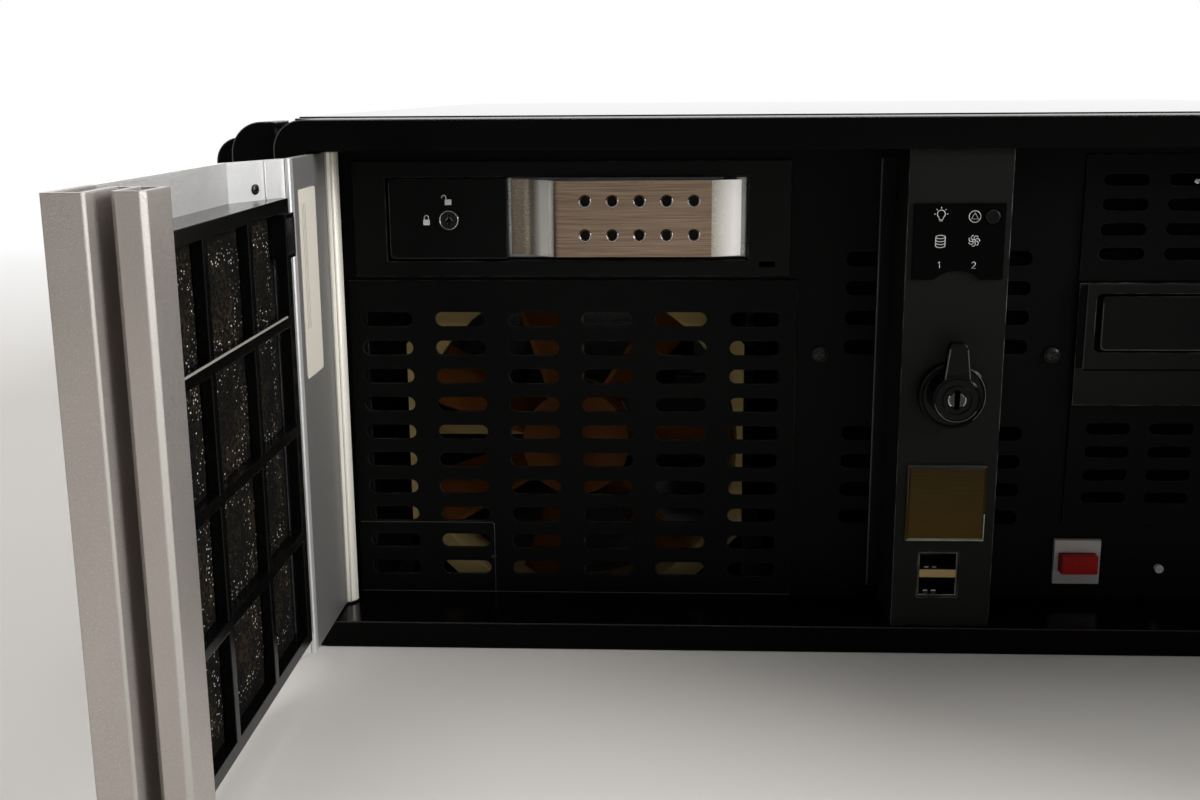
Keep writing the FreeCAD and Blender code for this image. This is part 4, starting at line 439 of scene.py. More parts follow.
def zinc_finish():
    """Zinc-plated sheet with fine rolling lines and the faint crystals of its plating."""
    material = surface("zinc_steel", (0.47, 0.48, 0.49), (0.55, 0.56, 0.57), (0.24, 0.36), metallic=1,
                       cells=500, depth=0.01, stretch=(0.04, 0.04, 1.0), patch=9)
    chance = crystals(spot(material.node_tree), 150.0)[1]
    return repaint(material, "Base Color", times(chance, 0.45), (0.68, 0.69, 0.70))


def cover_finish():
    """Satin black paint that mirrors only where it is seen edge-on."""
    material = surface("cover_paint", BLACK, SOFT_BLACK, (0.34, 0.46), cells=1700, depth=0.01, specular=0.3)
    edge_on = rise(node(material.node_tree, "LayerWeight", "Facing", {}), 0.93, 0.975)
    return repaint(material, "Roughness", edge_on, grey(0.03))


SHADES = {
    "zinc_steel": zinc_finish(),
    "door_silver": door_finish(),
    "brushed_silver": handle_finish(),
    "foam": foam_finish(),
    "gold_resin": badge_finish(),
    "board_green": board_finish(),
}


def shade(slot, *colours, **looks):
    """A plain finish for a slot."""
    SHADES[slot] = surface(slot, *colours, **looks)


# The pale edge colours given below are partly worn edges and partly painted highlights.
shade("black_paint", BLACK, SOFT_BLACK, (0.46, 0.6), cells=1400, depth=0.06, wear=(0.04, 0.04, 0.038),
      specular=0.07)
shade("black_plastic", BLACK, SOFT_BLACK, (0.3, 0.44), cells=1900, depth=0.05, wear=(0.05, 0.05, 0.048),
      round_edge=0.8, specular=0.1)
shade("grey_black", (0.0042, 0.0041, 0.0038), CHARCOAL, (0.42, 0.58), cells=2300, depth=0.06,
      wear=(0.2, 0.2, 0.195), specular=0.12)
shade("cast_silver", grey(0.5), grey(0.62), (0.3, 0.45), metallic=1, cells=800)
shade("steel_pin", grey(0.4), grey(0.55), (0.22, 0.35), metallic=1, depth=0.01, round_edge=0.3)
shade("dark_glass", grey(0.0006), grey(0.001), (0.05, 0.1), cells=200, depth=0.004, specular=0.03)
shade("black_chrome", grey(0.0007), grey(0.0012), (0.08, 0.14), cells=500, depth=0.01, round_edge=1.2,
      specular=0.1)
shade("white_plastic", (0.5, 0.49, 0.48), (0.6, 0.59, 0.58), (0.36, 0.5), cells=1600, specular=0.3)
shade("red_plastic", (0.36, 0.008, 0.006), (0.5, 0.012, 0.008), (0.34, 0.46), cells=1500, round_edge=0.9,
      specular=0.12)
shade("lamp_clear", (0.5, 0.51, 0.53), (0.6, 0.61, 0.63), (0.1, 0.2), cells=300, coat=0.5)
shade("fan_beige", (0.62, 0.46, 0.18), (0.76, 0.58, 0.25), (0.4, 0.55), cells=1200, specular=0.2)
shade("fan_brown", (0.13, 0.042, 0.008), (0.2, 0.068, 0.014), (0.4, 0.52), cells=1200, dust=0.03,
      specular=0.1)
shade("socket_black", SOFT_BLACK, CHARCOAL, (0.36, 0.5), cells=1800)
# The dark glass also serves as painted shade in holes, slots and gaps.
DARK_GLASS = SHADES["dark_glass"]
PRINT = surface("print", (0.8, 0.8, 0.78), (0.9, 0.9, 0.88), (0.5, 0.6), depth=0.004)
PAPER = surface("paper", (0.44, 0.41, 0.352), (0.515, 0.485, 0.42), (0.6, 0.75), cells=700, depth=0.01)
# Print on the label, and also a painted highlight along a filter rib.
FADED_PRINT_AND_HIGHLIGHT = surface("faded_print_and_highlight", (0.2, 0.19, 0.165), (0.27, 0.255, 0.22), (0.6, 0.7))
# The pale edge colours of DARK_SCREW and SHELL are painted highlights.
DARK_SCREW = surface("dark_screw", grey(0.012), grey(0.02), (0.25, 0.4), metallic=0.7, round_edge=0.2,
                     wear=grey(0.12))
SHELL = surface("shell", (0.05, 0.047, 0.042), (0.08, 0.076, 0.068), (0.3, 0.45), metallic=1, cells=700,
                round_edge=0.3, wear=(0.5, 0.45, 0.38))
PALE_PLASTIC = surface("pale_plastic", (0.34, 0.24, 0.085), (0.42, 0.3, 0.12), (0.4, 0.55), cells=1200)
CONTACT = surface("contact", (0.7, 0.52, 0.2), (0.8, 0.6, 0.28), (0.2, 0.3), metallic=1)
# SEAM_HIGHLIGHT and EDGE_SHEEN are pale greys drawn along seams and edges as painted highlights.
SEAM_HIGHLIGHT = surface("seam_highlight", (0.010, 0.010, 0.0095), (0.022, 0.022, 0.02), (0.3, 0.45), round_edge=0.2)
EDGE_SHEEN = surface("edge_sheen", (0.035, 0.035, 0.034), (0.09, 0.09, 0.087), (0.25, 0.4), round_edge=0.2,
                     patch=60)
# A bright silver drawn on the leaf's lip as a painted highlight.
LIP_HIGHLIGHT = surface("lip_highlight", (0.72, 0.72, 0.71), (0.82, 0.82, 0.81), (0.3, 0.42), metallic=0.7,
                     cells=2400, depth=0.02, round_edge=0.3)
# A pale green drawn on the dome's lower edge as a painted highlight.
DOME_EDGE_HIGHLIGHT = surface("dome_edge_highlight", (0.26, 0.30, 0.22), (0.5, 0.54, 0.44), (0.15, 0.3), round_edge=0.2,
                    patch=120)
WIRE = surface("wire", grey(0.5), grey(0.62), (0.2, 0.32), metallic=1, cells=600, round_edge=0.3)
JACKS = [surface("jack_" + hue, dark, light, (0.35, 0.5), cells=1500) for hue, dark, light in (
    ("blue", (0.06, 0.22, 0.42), (0.08, 0.28, 0.5)),
    ("green", (0.05, 0.28, 0.06), (0.07, 0.36, 0.09)),
    ("pink", (0.5, 0.12, 0.18), (0.58, 0.17, 0.24)),
)]
FILTER_PLASTIC = surface("filter_plastic", BLACK, SOFT_BLACK, (0.22, 0.26), cells=500, depth=0.004,
                         specular=0.24)
SCREEN = surface("screen", grey(0.0005), grey(0.0009), (0.7, 0.85), cells=1600, depth=0.2, specular=0.02)
NODE_SHADES = {
    **dict.fromkeys(("front_frame", "side_cheeks", "rack_ears"), frame_finish()),
    **dict.fromkeys(("filter_frame_left", "filter_frame_right"), FILTER_PLASTIC),
    # Parts inside the case, seen through the vents, painted black as painted shade.
    **dict.fromkeys(("bay_brackets", "drive_rack_cage", "disc_drive"), SHADES["black_paint"]),
    **dict.fromkeys(("panel_screws", "tray_lock"), DARK_SCREW),
    "usb_socket": SHELL,
    "top_cover": cover_finish(),
}

for row in frame["record"]["subparts"]:
    shown = frame["nodes"][row["node"]].data
    shown.materials.clear()
    shown.materials.append(NODE_SHADES.get(row["node"], SHADES[row["material_slot"]]))


# Planes to build on

def box(name):
    """The low and high corners of a node, in millimetres."""
    low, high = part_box(name)
    return low / MM, high / MM


def plane(at, across):
    """A plane at a point in millimetres, as a matrix whose axes are across, up and out."""
    matrix = Matrix((across, Z_AXIS, across.cross(Z_AXIS))).transposed().to_4x4()
    matrix.translation = Vector(at) * MM
    return matrix


def moved(face, u, v, n=0.0):
    """A plane moved across, up and out, in millimetres."""
    return face @ Matrix.Translation(Vector((u, v, n)) * MM)


def front(x, y, z):
    """A plane that looks to the front."""
    return plane((x, y, z), X_AXIS)


def rear(x, y, z):
    """A plane that looks to the back."""
    return plane((x, y, z), -X_AXIS)


def front_plane(name, sunk=0.0):
    """The plane of a node's front, on which places keep their own x and z."""
    return front(0, box(name)[0].y + sunk, 0)


def front_middle(name):
    """The plane of a node's front, at its middle."""
    low, high = box(name)
    return front((low.x + high.x) / 2, low.y, (low.z + high.z) / 2)


# Outlines and strokes in millimetres

CORNER_STEPS = 5
BEAD_SIDES = 8


def polar(middle, radius, angle):
    """The point at a radius and an angle in degrees from a middle."""
    turn = math.radians(angle)
    return (middle[0] + radius * math.cos(turn), middle[1] + radius * math.sin(turn))


def arc(middle, radius, start, end, steps, squeeze=1.0):
    """Points on an arc between two angles in degrees, squeezed in height if asked."""
    points = []
    for step in range(steps + 1):
        u, v = polar((0, 0), radius, start + (end - start) * step / steps)
        points.append((middle[0] + u, middle[1] + squeeze * v))
    return points


def rounded_outline(width, height, corner):
    """Points round a rectangle with round corners, about its middle."""
    points = []
    for turn, (sign_x, sign_y) in enumerate(((1, 1), (-1, 1), (-1, -1), (1, -1))):
        middle = (sign_x * (width / 2 - corner), sign_y * (height / 2 - corner))
        points += arc(middle, corner, 90 * turn, 90 * turn + 90, CORNER_STEPS)
    return points


def bead(middle, radius):
    """The outline of a thin round bead."""
    return arc(middle, radius, 0, 360, BEAD_SIDES)[:-1]


def placed(strokes, u, v, scale=1.0):
    """Strokes drawn to a scale and moved to a place."""
    return [[(scale * x + u, scale * y + v) for x, y in points] for points in strokes]


# Pieces

# Ends of a stroke that are closer than this meet.
TOUCHING = 1e-6


def piece(name, data, body, slot, material=None):
    """A mesh or curve that rides on a body, in the finish of its slot if no other is given."""
    thing = bpy.data.objects.new(name, data)
    scene.collection.objects.link(thing)
    data.materials.append(SHADES[slot] if material is None else material)
    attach(thing, body)
    return thing


def finished(bm, name):
    """A mesh from a bmesh, with its normals outward."""
    bmesh.ops.recalc_face_normals(bm, faces=bm.faces)
    mesh = bpy.data.meshes.new(name)
    bm.to_mesh(mesh)
    bm.free()
    return mesh


def slab(bm, points, low, high, bevel=0.0):
    """A closed outline raised from one height to another, with its upper edge bevelled."""
    floor = [bm.verts.new(Vector((u, v, low)) * MM) for u, v in points]
    raised = bmesh.ops.extrude_face_region(bm, geom=[bm.faces.new(floor)])["geom"]
    for vertex in raised:
        if isinstance(vertex, bmesh.types.BMVert):
            vertex.co.z = high * MM
    if bevel:
        edges = [e for e in raised if isinstance(e, bmesh.types.BMEdge)]
        bmesh.ops.bevel(bm, geom=edges, offset=bevel * MM, segments=2, affect="EDGES", profile=0.5)


def prism(name, face, points, low, high, body, slot, material=None, bevel=0.0):
    """An outline on a plane, raised from one height over the plane to another."""
    bm = bmesh.new()
    slab(bm, points, low, high, bevel)
    bm.transform(face)
    piece(name, finished(bm, name), body, slot, material)


def plate(name, face, width, height, corner, thickness, body, slot, material=None, bevel=0.0, sunk=0.0):
    """A flat plate with round corners that lies on a plane or is sunk in it."""
    outline = rounded_outline(width, height, corner)
    prism(name, face, outline, -sunk, thickness, body, slot, material, bevel)


def strip(name, side, points, span, body, slot, material=None):
    """A section stood upright over a span of height, with its plan given for the left side."""
    mirrored = [(HAND[side] * x, y) for x, y in points]
    prism(name, Matrix(), mirrored, span[0], span[1], body, slot, material)


def drawing(name, face, strokes, width, body, slot, material=None):
    """Lines on a plane, each a row of points. A line whose ends meet is closed."""
    curve = bpy.data.curves.new(name, "CURVE")
    curve.dimensions = "3D"
    curve.bevel_depth = width / 2 * MM
    curve.bevel_resolution = 1
    for points in strokes:
        closed = math.dist(points[0], points[-1]) < TOUCHING
        shown_points = points[:-1] if closed else points
        spline = curve.splines.new("POLY")
        spline.points.add(len(shown_points) - 1)
        spline.use_cyclic_u = closed
        for target, (u, v) in zip(spline.points, shown_points):
            target.co = (*(face @ Vector((u * MM, v * MM, 0))), 1)
    piece(name, curve, body, slot, material)


def ring(name, face, radius, wire, body, slot, material=None, sweep=(0, 360)):
    """A thin round bead bent to a circle, or to part of one."""
    drawing(name, face, [arc((0, 0), radius, sweep[0], sweep[1], 40)], wire, body, slot, material)


# Screws

SCREW_RINGS = 7
SCREW_SIDES = 28
# Shares of a screw head's radius and height.
DOME_FALL = 0.88
SKIRT_DROP = 0.2
CROSS_LENGTH = 1.15
CROSS_WIDTH = 0.26
CROSS_DEPTH = 1.2
CROSS_LEVEL = 0.95


def screw_mesh(radius, height):
    """A domed screw head with a cross recess, looking along +Z."""
    bm = bmesh.new()
    crown = []
    for step in range(1, SCREW_RINGS + 1):
        share = step / SCREW_RINGS
        level = height * math.sqrt(1 - (DOME_FALL * share) ** 2)
        circle = arc((0, 0), radius * share, 0, 360, SCREW_SIDES)[:-1]
        crown.append([bm.verts.new((u, v, level)) for u, v in circle])
    skirt = [bm.verts.new((v.co.x, v.co.y, -height * SKIRT_DROP)) for v in crown[-1]]
    top = bm.verts.new((0, 0, height))
    rows = crown + [skirt]
    for side in range(SCREW_SIDES):
        follow = (side + 1) % SCREW_SIDES
        bm.faces.new((top, crown[0][side], crown[0][follow]))
        for inner, outer in zip(rows, rows[1:]):
            bm.faces.new((inner[side], outer[side], outer[follow], inner[follow]))
    bm.faces.new(skirt)
    cross = bmesh.new()
    for turn in (0, 1):
        block = bmesh.ops.create_cube(cross, size=1.0)["verts"]
        arm = Matrix.Diagonal((radius * CROSS_LENGTH, radius * CROSS_WIDTH, height * CROSS_DEPTH, 1))
        bmesh.ops.transform(cross, verts=block, matrix=Matrix.Rotation(turn * math.pi / 2, 4, "Z") @ arm)
        bmesh.ops.translate(cross, verts=block, vec=(0, 0, height * CROSS_LEVEL))
    return carved(finished(bm, "screw_blank"), finished(cross, "screw_cross"), "screw_head")


def carved(solid, tool, name):
    """A mesh with another taken away from it."""
    base = bpy.data.objects.new(name, solid)
    knife = bpy.data.objects.new(name + "_tool", tool)
    for thing in (base, knife):
        scene.collection.objects.link(thing)
    modifier = base.modifiers.new("cut", "BOOLEAN")
    modifier.object = knife
    modifier.operation = "DIFFERENCE"
    modifier.solver = "EXACT"
    modifier.use_self = True
    bpy.context.view_layer.update()
    evaluated = base.evaluated_get(bpy.context.evaluated_depsgraph_get())
    result = bpy.data.meshes.new_from_object(evaluated)
    result.name = name
    for thing in (base, knife):
        bpy.data.objects.remove(thing)
    return result


SCREW = screw_mesh(1.0, 0.55)


def screws(name, faces, radius, body, slot, material=None):
    """Screw heads on planes, joined into one piece, each turned its own way."""
    bm = bmesh.new()
    turns = random.Random(len(name))
    for face in faces:
        before = len(bm.verts)
        bm.from_mesh(SCREW)
        bm.verts.ensure_lookup_table()
        turn = Matrix.Rotation(turns.uniform(0, math.pi / 2), 4, "Z")
        matrix = face @ turn @ Matrix.Scale(radius * MM, 4)
        bmesh.ops.transform(bm, verts=bm.verts[before:], matrix=matrix)
    piece(name, finished(bm, name), body, slot, material)


# Doors

# The filter's grid shows the foam in cells, three across and four up.
FOAM_CELLS_ACROSS = 3
FOAM_CELLS_UP = 4
FOAM_COLUMNS = 84
FOAM_ROWS = 100
FOAM_CROWN = 0.9 * MM
FOAM_ROUGH = 0.5 * MM
FOAM_COARSE_CELLS = 420
FOAM_FINE_CELLS = 1100
FOAM_RIM_SLOPE = 12
FOAM_SINK = 0.5 * MM
FOAM_SLANT = 14.0 * MM
SLANT_SHARE = 0.5


def foam_swell(across, upright, y, z):
    """How far the foam stands out: a crown in each cell of the grid and a rough skin, flat at the rim."""
    crown = abs(math.sin(FOAM_CELLS_ACROSS * math.pi * across) * math.sin(FOAM_CELLS_UP * math.pi * upright))
    coarse = noise.noise(Vector((0, y, z)) * FOAM_COARSE_CELLS)
    fine = noise.noise(Vector((3, y, z)) * FOAM_FINE_CELLS)
    edge = min(1.0, FOAM_RIM_SLOPE * min(across, 1 - across, upright, 1 - upright))
    return (FOAM_CROWN * math.sqrt(crown) + FOAM_ROUGH * (0.35 * coarse + 0.25 * fine)) * edge


def foam_pad(side):
    """Foam that swells through the grid of its filter frame and stays inside the door."""
    name = "filter_foam_" + side
    low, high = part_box(name)
    face_x, back_x = (high.x, low.x) if side == "left" else (low.x, high.x)
    bm = bmesh.new()
    sheet = []
    for row in range(FOAM_ROWS + 1):
        upright = row / FOAM_ROWS
        z = low.z + (high.z - low.z) * upright
        line = []
        for column in range(FOAM_COLUMNS + 1):
            across = column / FOAM_COLUMNS
            y = low.y + (high.y - low.y) * across
            x = face_x - HAND[side] * (FOAM_SINK - foam_swell(across, upright, y, z))
            line.append(bm.verts.new((x, y, z)))
        sheet.append(line)
    for below, above in zip(sheet, sheet[1:]):
        for corners in zip(below, below[1:], above[1:], above):
            bm.faces.new(corners)
    rim = [e for e in bm.edges if e.is_boundary]
    for vertex in bmesh.ops.extrude_edge_only(bm, edges=rim)["geom"]:
        if isinstance(vertex, bmesh.types.BMVert):
            shelf = SLANT_SHARE * max(0.0, vertex.co.y - (high.y - FOAM_SLANT))
            vertex.co.x = back_x + HAND[side] * shelf
    bmesh.ops.holes_fill(bm, edges=[e for e in bm.edges if e.is_boundary], sides=0)
    pad = piece(name + "_pad", finished(bm, name), side + "_door", "foam")
    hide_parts(name)


LABEL_AT = (-204.1, -32.0, 127.0)
LABEL_WIDTH = 20.5
LABEL_HEIGHT = 59.0
LABEL_THICKNESS = 0.12


def door_label():
    """A bare paper label near the top of the left leaf, ruled but with nothing on it."""
    leaf = plane(LABEL_AT, Y_AXIS)
    plate("door_label", leaf, LABEL_WIDTH, LABEL_HEIGHT, 1.2, LABEL_THICKNESS, "left_door", "white_plastic",
          PAPER)
    rules = [[(line, -14), (line, 25)] for line in (-6.5, -4.8, -3.1)]
    printed = moved(leaf, 0, 0, LABEL_THICKNESS)
    drawing("door_label_rules", printed, rules, 0.16, "left_door", "white_plastic", FADED_PRINT_AND_HIGHLIGHT)


# Heights over which the door's trim runs, and the plan of the lip at the leaf's end.
LIP_SPAN = (9.9, 166.2)
BAR_SPAN = (10.0, 166.1)
CREASE_SPAN = (155.3, 166.1)
TAB_SPAN = (139.2, 149.6)
TAB_X = -202.0
TAB_START_Y = -57.4
TAB_PITCH = 1.7
TAB_RIBS = 5
CREASE_AT = (-208.8, -59.7)
BAR_RIDGES_AT = ((-203.95, -6.8), (-202.6, -5.0))
FILTER_SCREW_AT = Vector((-210.7, -64.1, 158.2))
FILTER_SCREW_FACING = Vector((0.925, -0.38, 0))
LIP = [(-204.1, -46.5), (-203.8, -48.2), (-203.8, -50.7), (-204.2, -51.2), (-205.2, -51.2), (-204.6, -48.0)]


def door_trim(side):
    """The lip at the leaf's end painted bright as a highlight, the creases beside it, a filter screw and the
    ribs of the filter's tab.
    """
    body = side + "_door"
    # The lip is painted bright as a painted highlight.
    strip("leaf_lip_" + side, side, LIP, LIP_SPAN, body, "door_silver", LIP_HIGHLIGHT)
    strip("slant_crease_" + side, side, bead(CREASE_AT, 0.45), CREASE_SPAN, body, "door_silver")
    for number, middle in enumerate(BAR_RIDGES_AT):
        strip(f"bar_ridge_{side}_{number}", side, bead(middle, 0.4), BAR_SPAN, body, "door_silver")
    mirror = Vector((HAND[side], 1, 1))
    face = plane(FILTER_SCREW_AT * mirror, Z_AXIS.cross(FILTER_SCREW_FACING * mirror))
    screws("filter_screw_" + side, [face], 1.5, body, "black_chrome", DARK_SCREW)
    for number in range(TAB_RIBS):
        rib = bead((TAB_X, TAB_START_Y - TAB_PITCH * number), 0.5)
        strip(f"tab_rib_{side}_{number}", side, rib, TAB_SPAN, body, "black_plastic")


RIB_Z = 120.6
RIB_SUNK = 2.0


def rib_highlight(side):
    """A painted highlight along the top edge of the upper rib of a filter."""
    hand = HAND[side]
    low, high = box("filter_frame_" + side)
    inner = high.x if side == "left" else low.x
    face = plane((inner - RIB_SUNK * hand, 0, 0), Y_AXIS * hand)
    stroke = [(-162.0 * hand, RIB_Z), (-62.0 * hand, RIB_Z)]
    drawing("rib_highlight_" + side, face, [stroke], 0.7, side + "_door", "black_plastic", FADED_PRINT_AND_HIGHLIGHT)


# Centre pillar

USB_SPRINGS_X = (-4.6, -1.9)
USB_SPRINGS_Y = -15.0
USB_SPRINGS_Z = {"low": 20.3, "high": 28.5}
SIGN_SCALE = 0.82
LOCK_Z = 89.0
COLLAR_RADIUS = 9.9
KNOB_RADIUS = 6.9
CORE_RADIUS = 2.4


def usb_details():
    """The pale bridge between the two sockets and the sprung contacts inside them."""
    bridge = moved(front_middle("usb_socket"), 0, 0.25)
    plate("usb_bridge", bridge, 12.2, 2.7, 0.3, 0.3, "chassis", "white_plastic", PALE_PLASTIC, bevel=0.1,
          sunk=0.4)
    for level, z in USB_SPRINGS_Z.items():
        for number, x in enumerate(USB_SPRINGS_X):
            name = f"usb_spring_{level}_{number}"
            spring = front(x, USB_SPRINGS_Y, z)
            plate(name, spring, 1.6, 0.7, 0.15, 2.0, "chassis", "steel_pin", WIRE, bevel=0.15)


def window_signs():
    """Generic signs on the indicator window: lamp, warning, store, fan and two channel numbers."""
    glass = front_plane("indicator_window")
    lamp_middle = (0, 0.5)
    bulb = [
        arc(lamp_middle, 1.5, -55, 235, 18),
        [(-0.86, -0.75), (-0.7, -1.6), (0.7, -1.6), (0.86, -0.75)],
        [(-0.6, -2.1), (0.6, -2.1)],
    ]
    bulb += [[polar(lamp_middle, 2.1, angle), polar(lamp_middle, 2.7, angle)] for angle in range(0, 181, 45)]
    warning = [arc((0, 0), 2.2, 0, 360, 28), arc((0, -0.15), 1.55, 90, 450, 3)]
    store = [arc((0, 1.7), 1.8, 0, 360, 20, 0.36)]
    store += [arc((0, level), 1.8, 180, 360, 12, 0.36) for level in (0.55, -0.55, -1.7)]
    store += [[(x, 1.7), (x, -1.7)] for x in (-1.8, 1.8)]
    blades = [arc((0, 0), 0.5, 0, 360, 10)]
    for blade in range(7):
        turn = blade * 360 / 7
        blades.append(arc(polar((0, 0), 1.25, turn), 0.85, turn - 20, turn + 150, 8))
    one = [[(-0.5, 0.7), (0.1, 1.2), (0.1, -1.2)]]
    two = [arc((0, 0.5), 0.7, 160, -40, 8) + [(-0.7, -1.2), (0.8, -1.2)]]
    for name, strokes, x, z in (
        ("bulb", bulb, -5.9, 146.4), ("warning", warning, 4.6, 146.0), ("store", store, -5.8, 138.2),
        ("fan", blades, 4.7, 138.4), ("one", one, -5.8, 130.8), ("two", two, 4.9, 130.7),
    ):
        sign = placed(strokes, x, z, SIGN_SCALE)
        drawing("sign_" + name, glass, sign, 0.28, "chassis", "white_plastic", PRINT)


def badge_rim():
    """The cut edge of the clear dome: a pale painted highlight along the foot and one side of the badge, and
    a fainter painted sheen along the other side and the head.
    """
    inset = 0.3
    low, high = box("badge_plate")
    face = front_plane("badge_plate", inset)
    left = low.x + inset
    right = high.x - inset
    foot = low.z + inset
    head = high.z - inset
    pale = [(left, foot), (right, foot), (right, foot + 9)]
    drawing("badge_foot", face, [pale], 0.5, "chassis", "gold_resin", DOME_EDGE_HIGHLIGHT)
    dark = [(left, foot + 12), (left, head), (right, head)]
    drawing("badge_head", face, [dark], 0.3, "chassis", "gold_resin", EDGE_SHEEN)


def latch_details():
    """Beads round the collar and knob with painted sheen arcs on them, raised edges on the wing drawn pale
    as painted highlights, and the plated core of the lock with painted glints.
    """
    collar = front(0, box("lock_collar")[0].y, LOCK_Z)
    knob = front(0, box("turn_latch")[0].y, LOCK_Z)
    ring("collar_bead", collar, COLLAR_RADIUS, 0.9, "chassis", "black_chrome")
    # Painted sheen arcs on the collar and the knob.
    sheen = moved(collar, 0, 0, 0.3)
    ring("collar_sheen", sheen, COLLAR_RADIUS + 0.2, 0.4, "chassis", "black_chrome", EDGE_SHEEN, (-50, 60))
    ring("knob_bead", knob, KNOB_RADIUS, 0.7, "latch", "black_chrome")
    sheen = moved(knob, 0, 0, 0.2)
    ring("knob_sheen", sheen, KNOB_RADIUS + 0.1, 0.4, "latch", "black_chrome", EDGE_SHEEN, (190, 330))
    ring("core_bead", knob, 4.6, 0.5, "latch", "black_chrome")
    # Raised edges on the wing, drawn pale as painted highlights.
    edges = [[(sign * 4.0, 5.6), (sign * 2.75, 16.2)] for sign in (-1, 1)]
    drawing("wing_edges", moved(knob, 0, 0, -0.65), edges, 0.5, "latch", "black_chrome", EDGE_SHEEN)
    for side in SIDES:
        half = [(-HAND[side] * x, z) for x, z in arc((0, 0), CORE_RADIUS, -68, 68, 10)]
        prism("lock_core_" + side, knob, half, -0.4, 0.2, "latch", "steel_pin", SHELL, bevel=0.1)
    # Painted glints on the lock's core.
    for name, sweep in (("left", (150, 225)), ("right", (-45, 20))):
        glint = moved(knob, 0, 0, 0.1)
        ring("core_glint_" + name, glint, CORE_RADIUS + 0.3, 0.4, "latch", "steel_pin", WIRE, sweep)


def pillar_lips():
    """The lips by which the pillar lies on the panel, each with a painted highlight along its edge."""
    lip = [(-20.6, 8.6), (-20.6, 7.8), (-20.2, 7.4), (-16.2, 7.4), (-16.2, 8.6)]
    edge = bead((-20.4, 7.6), 0.3)
    plastic = SHADES["black_plastic"]
    for side in SIDES:
        strip("pillar_lip_" + side, side, lip, (13.0, 163.0), "chassis", "grey_black", plastic)
        strip("pillar_lip_edge_" + side, side, edge, (13.2, 162.8), "chassis", "grey_black", EDGE_SHEEN)


# Drive rack

HOLE_START_X = -119.3
HOLE_PITCH = 9.1
HOLE_ROWS_Z = (137.9, 149.3)
RACK_EDGE_X = -65.2


def tray_lock_details():
    """The bright rim and the three-way key slot of the tray's lock, the slot drawn dark as painted shade."""
    face = front_middle("tray_lock")
    middle = (0, 0.1)
    ring("lock_rim", face, 3.1, 0.4, "tray_key", "steel_pin", WIRE)
    ways = [[middle, polar(middle, 1.5, angle)] for angle in (90, 330, 210)]
    # The key slot drawn dark as painted shade.
    drawing("lock_slot", face, ways, 0.5, "tray_key", "steel_pin", DARK_GLASS)
    edge = [(-1.2, -0.2), (0, 1.4), (1.2, -0.2)]
    drawing("lock_slot_edge", face, [edge], 0.25, "tray_key", "steel_pin", WIRE)


def handle_details():
    """Painted highlights round part of each countersunk rim of the handle's holes, and dark plates inside
    them as painted shade.
    """
    for row, z in enumerate(HOLE_ROWS_Z):
        for column in range(5):
            hole = moved(front_plane("drive_handle"), HOLE_START_X + HOLE_PITCH * column, z)
            rim = moved(hole, 0, 0, -0.12)
            inside = moved(hole, 0, 0, -1.5)
            name = f"{row}_{column}"
            # A painted highlight on part of the rim, and a dark plate inside as painted shade.
            ring("hole_rim_" + name, rim, 1.95, 0.5, "handle", "brushed_silver", WIRE, (170, 385))
            plate("hole_dark_" + name, inside, 2.9, 2.9, 1.44, 0.3, "handle", "black_plastic")


def lock_signs():
    """Closed and open padlocks printed beside the tray's key."""
    face = front_plane("tray_face")
    reach = 0.72
    shut = [(reach, 0.3)] + arc((0, 1.05), reach, 0, 180, 8) + [(-reach, 0.3)]
    swung = [(-reach, 0.3)] + arc((-2 * reach, 1.05), reach, 0, 180, 8) + [(-3 * reach, 0.75)]
    for state, x, z, bow in (("locked", -173.8, 142.4, shut), ("unlocked", -166.2, 149.2, swung)):
        name = "sign_" + state
        plate(name + "_case", moved(face, x, z - 0.6), 2.3, 1.9, 0.2, 0.05, "tray", "white_plastic", PRINT)
        drawing(name, face, placed([bow], x, z), 0.34, "tray", "white_plastic", PRINT)


def rack_edge_highlights():
    """Painted highlights along edges of the tray's face and of the rack's bezel."""
    low, high = box("tray_face")
    left = low.x + 0.25
    foot = low.z + 0.25
    edge = [(left, high.z - 1.5), (left, foot + 1.2), (left + 1.2, foot), (high.x - 0.3, foot)]
    face = front_plane("tray_face", 0.1)
    drawing("tray_face_edge", face, [edge], 0.3, "tray", "black_plastic", EDGE_SHEEN)
    upright = [(RACK_EDGE_X, low.z + 0.5), (RACK_EDGE_X, high.z + 0.7)]
    bezel = front_plane("drive_rack_bezel")
    drawing("rack_edge", bezel, [upright], 0.3, "chassis", "black_plastic", EDGE_SHEEN)


# Fan grille and bays

GRILLE_PAD_X = -152.9
GRILLE_PAD_Z = 35.4
SEAM_INSET = 0.2
BAY_HALF = 21.1
RIVET_X = 82.7
PARTING_Z = 91.7
UPPER_WEB = 24
LOWER_WEB = 27


def grille_highlights():
    """Painted highlights along the grille's lower edge and round its corner pad, and the stud beside the
    pad.
    """
    low, high = box("fan_grille")
    face = front_plane("fan_grille")
    foot = low.z + SEAM_INSET
    cut = 0.7
    pad = [
        (low.x + 0.6, GRILLE_PAD_Z),
        (GRILLE_PAD_X - cut, GRILLE_PAD_Z),
        (GRILLE_PAD_X, GRILLE_PAD_Z - cut),
        (GRILLE_PAD_X, foot),
    ]
    lower = [(low.x + SEAM_INSET, foot), (high.x - SEAM_INSET, foot)]
    drawing("grille_highlights", face, [pad, lower], 0.4, "chassis", "black_paint", SEAM_HIGHLIGHT)
    screws("grille_stud", [moved(face, GRILLE_PAD_X - 0.4, 22.4)], 0.9, "chassis", "steel_pin", DARK_SCREW)


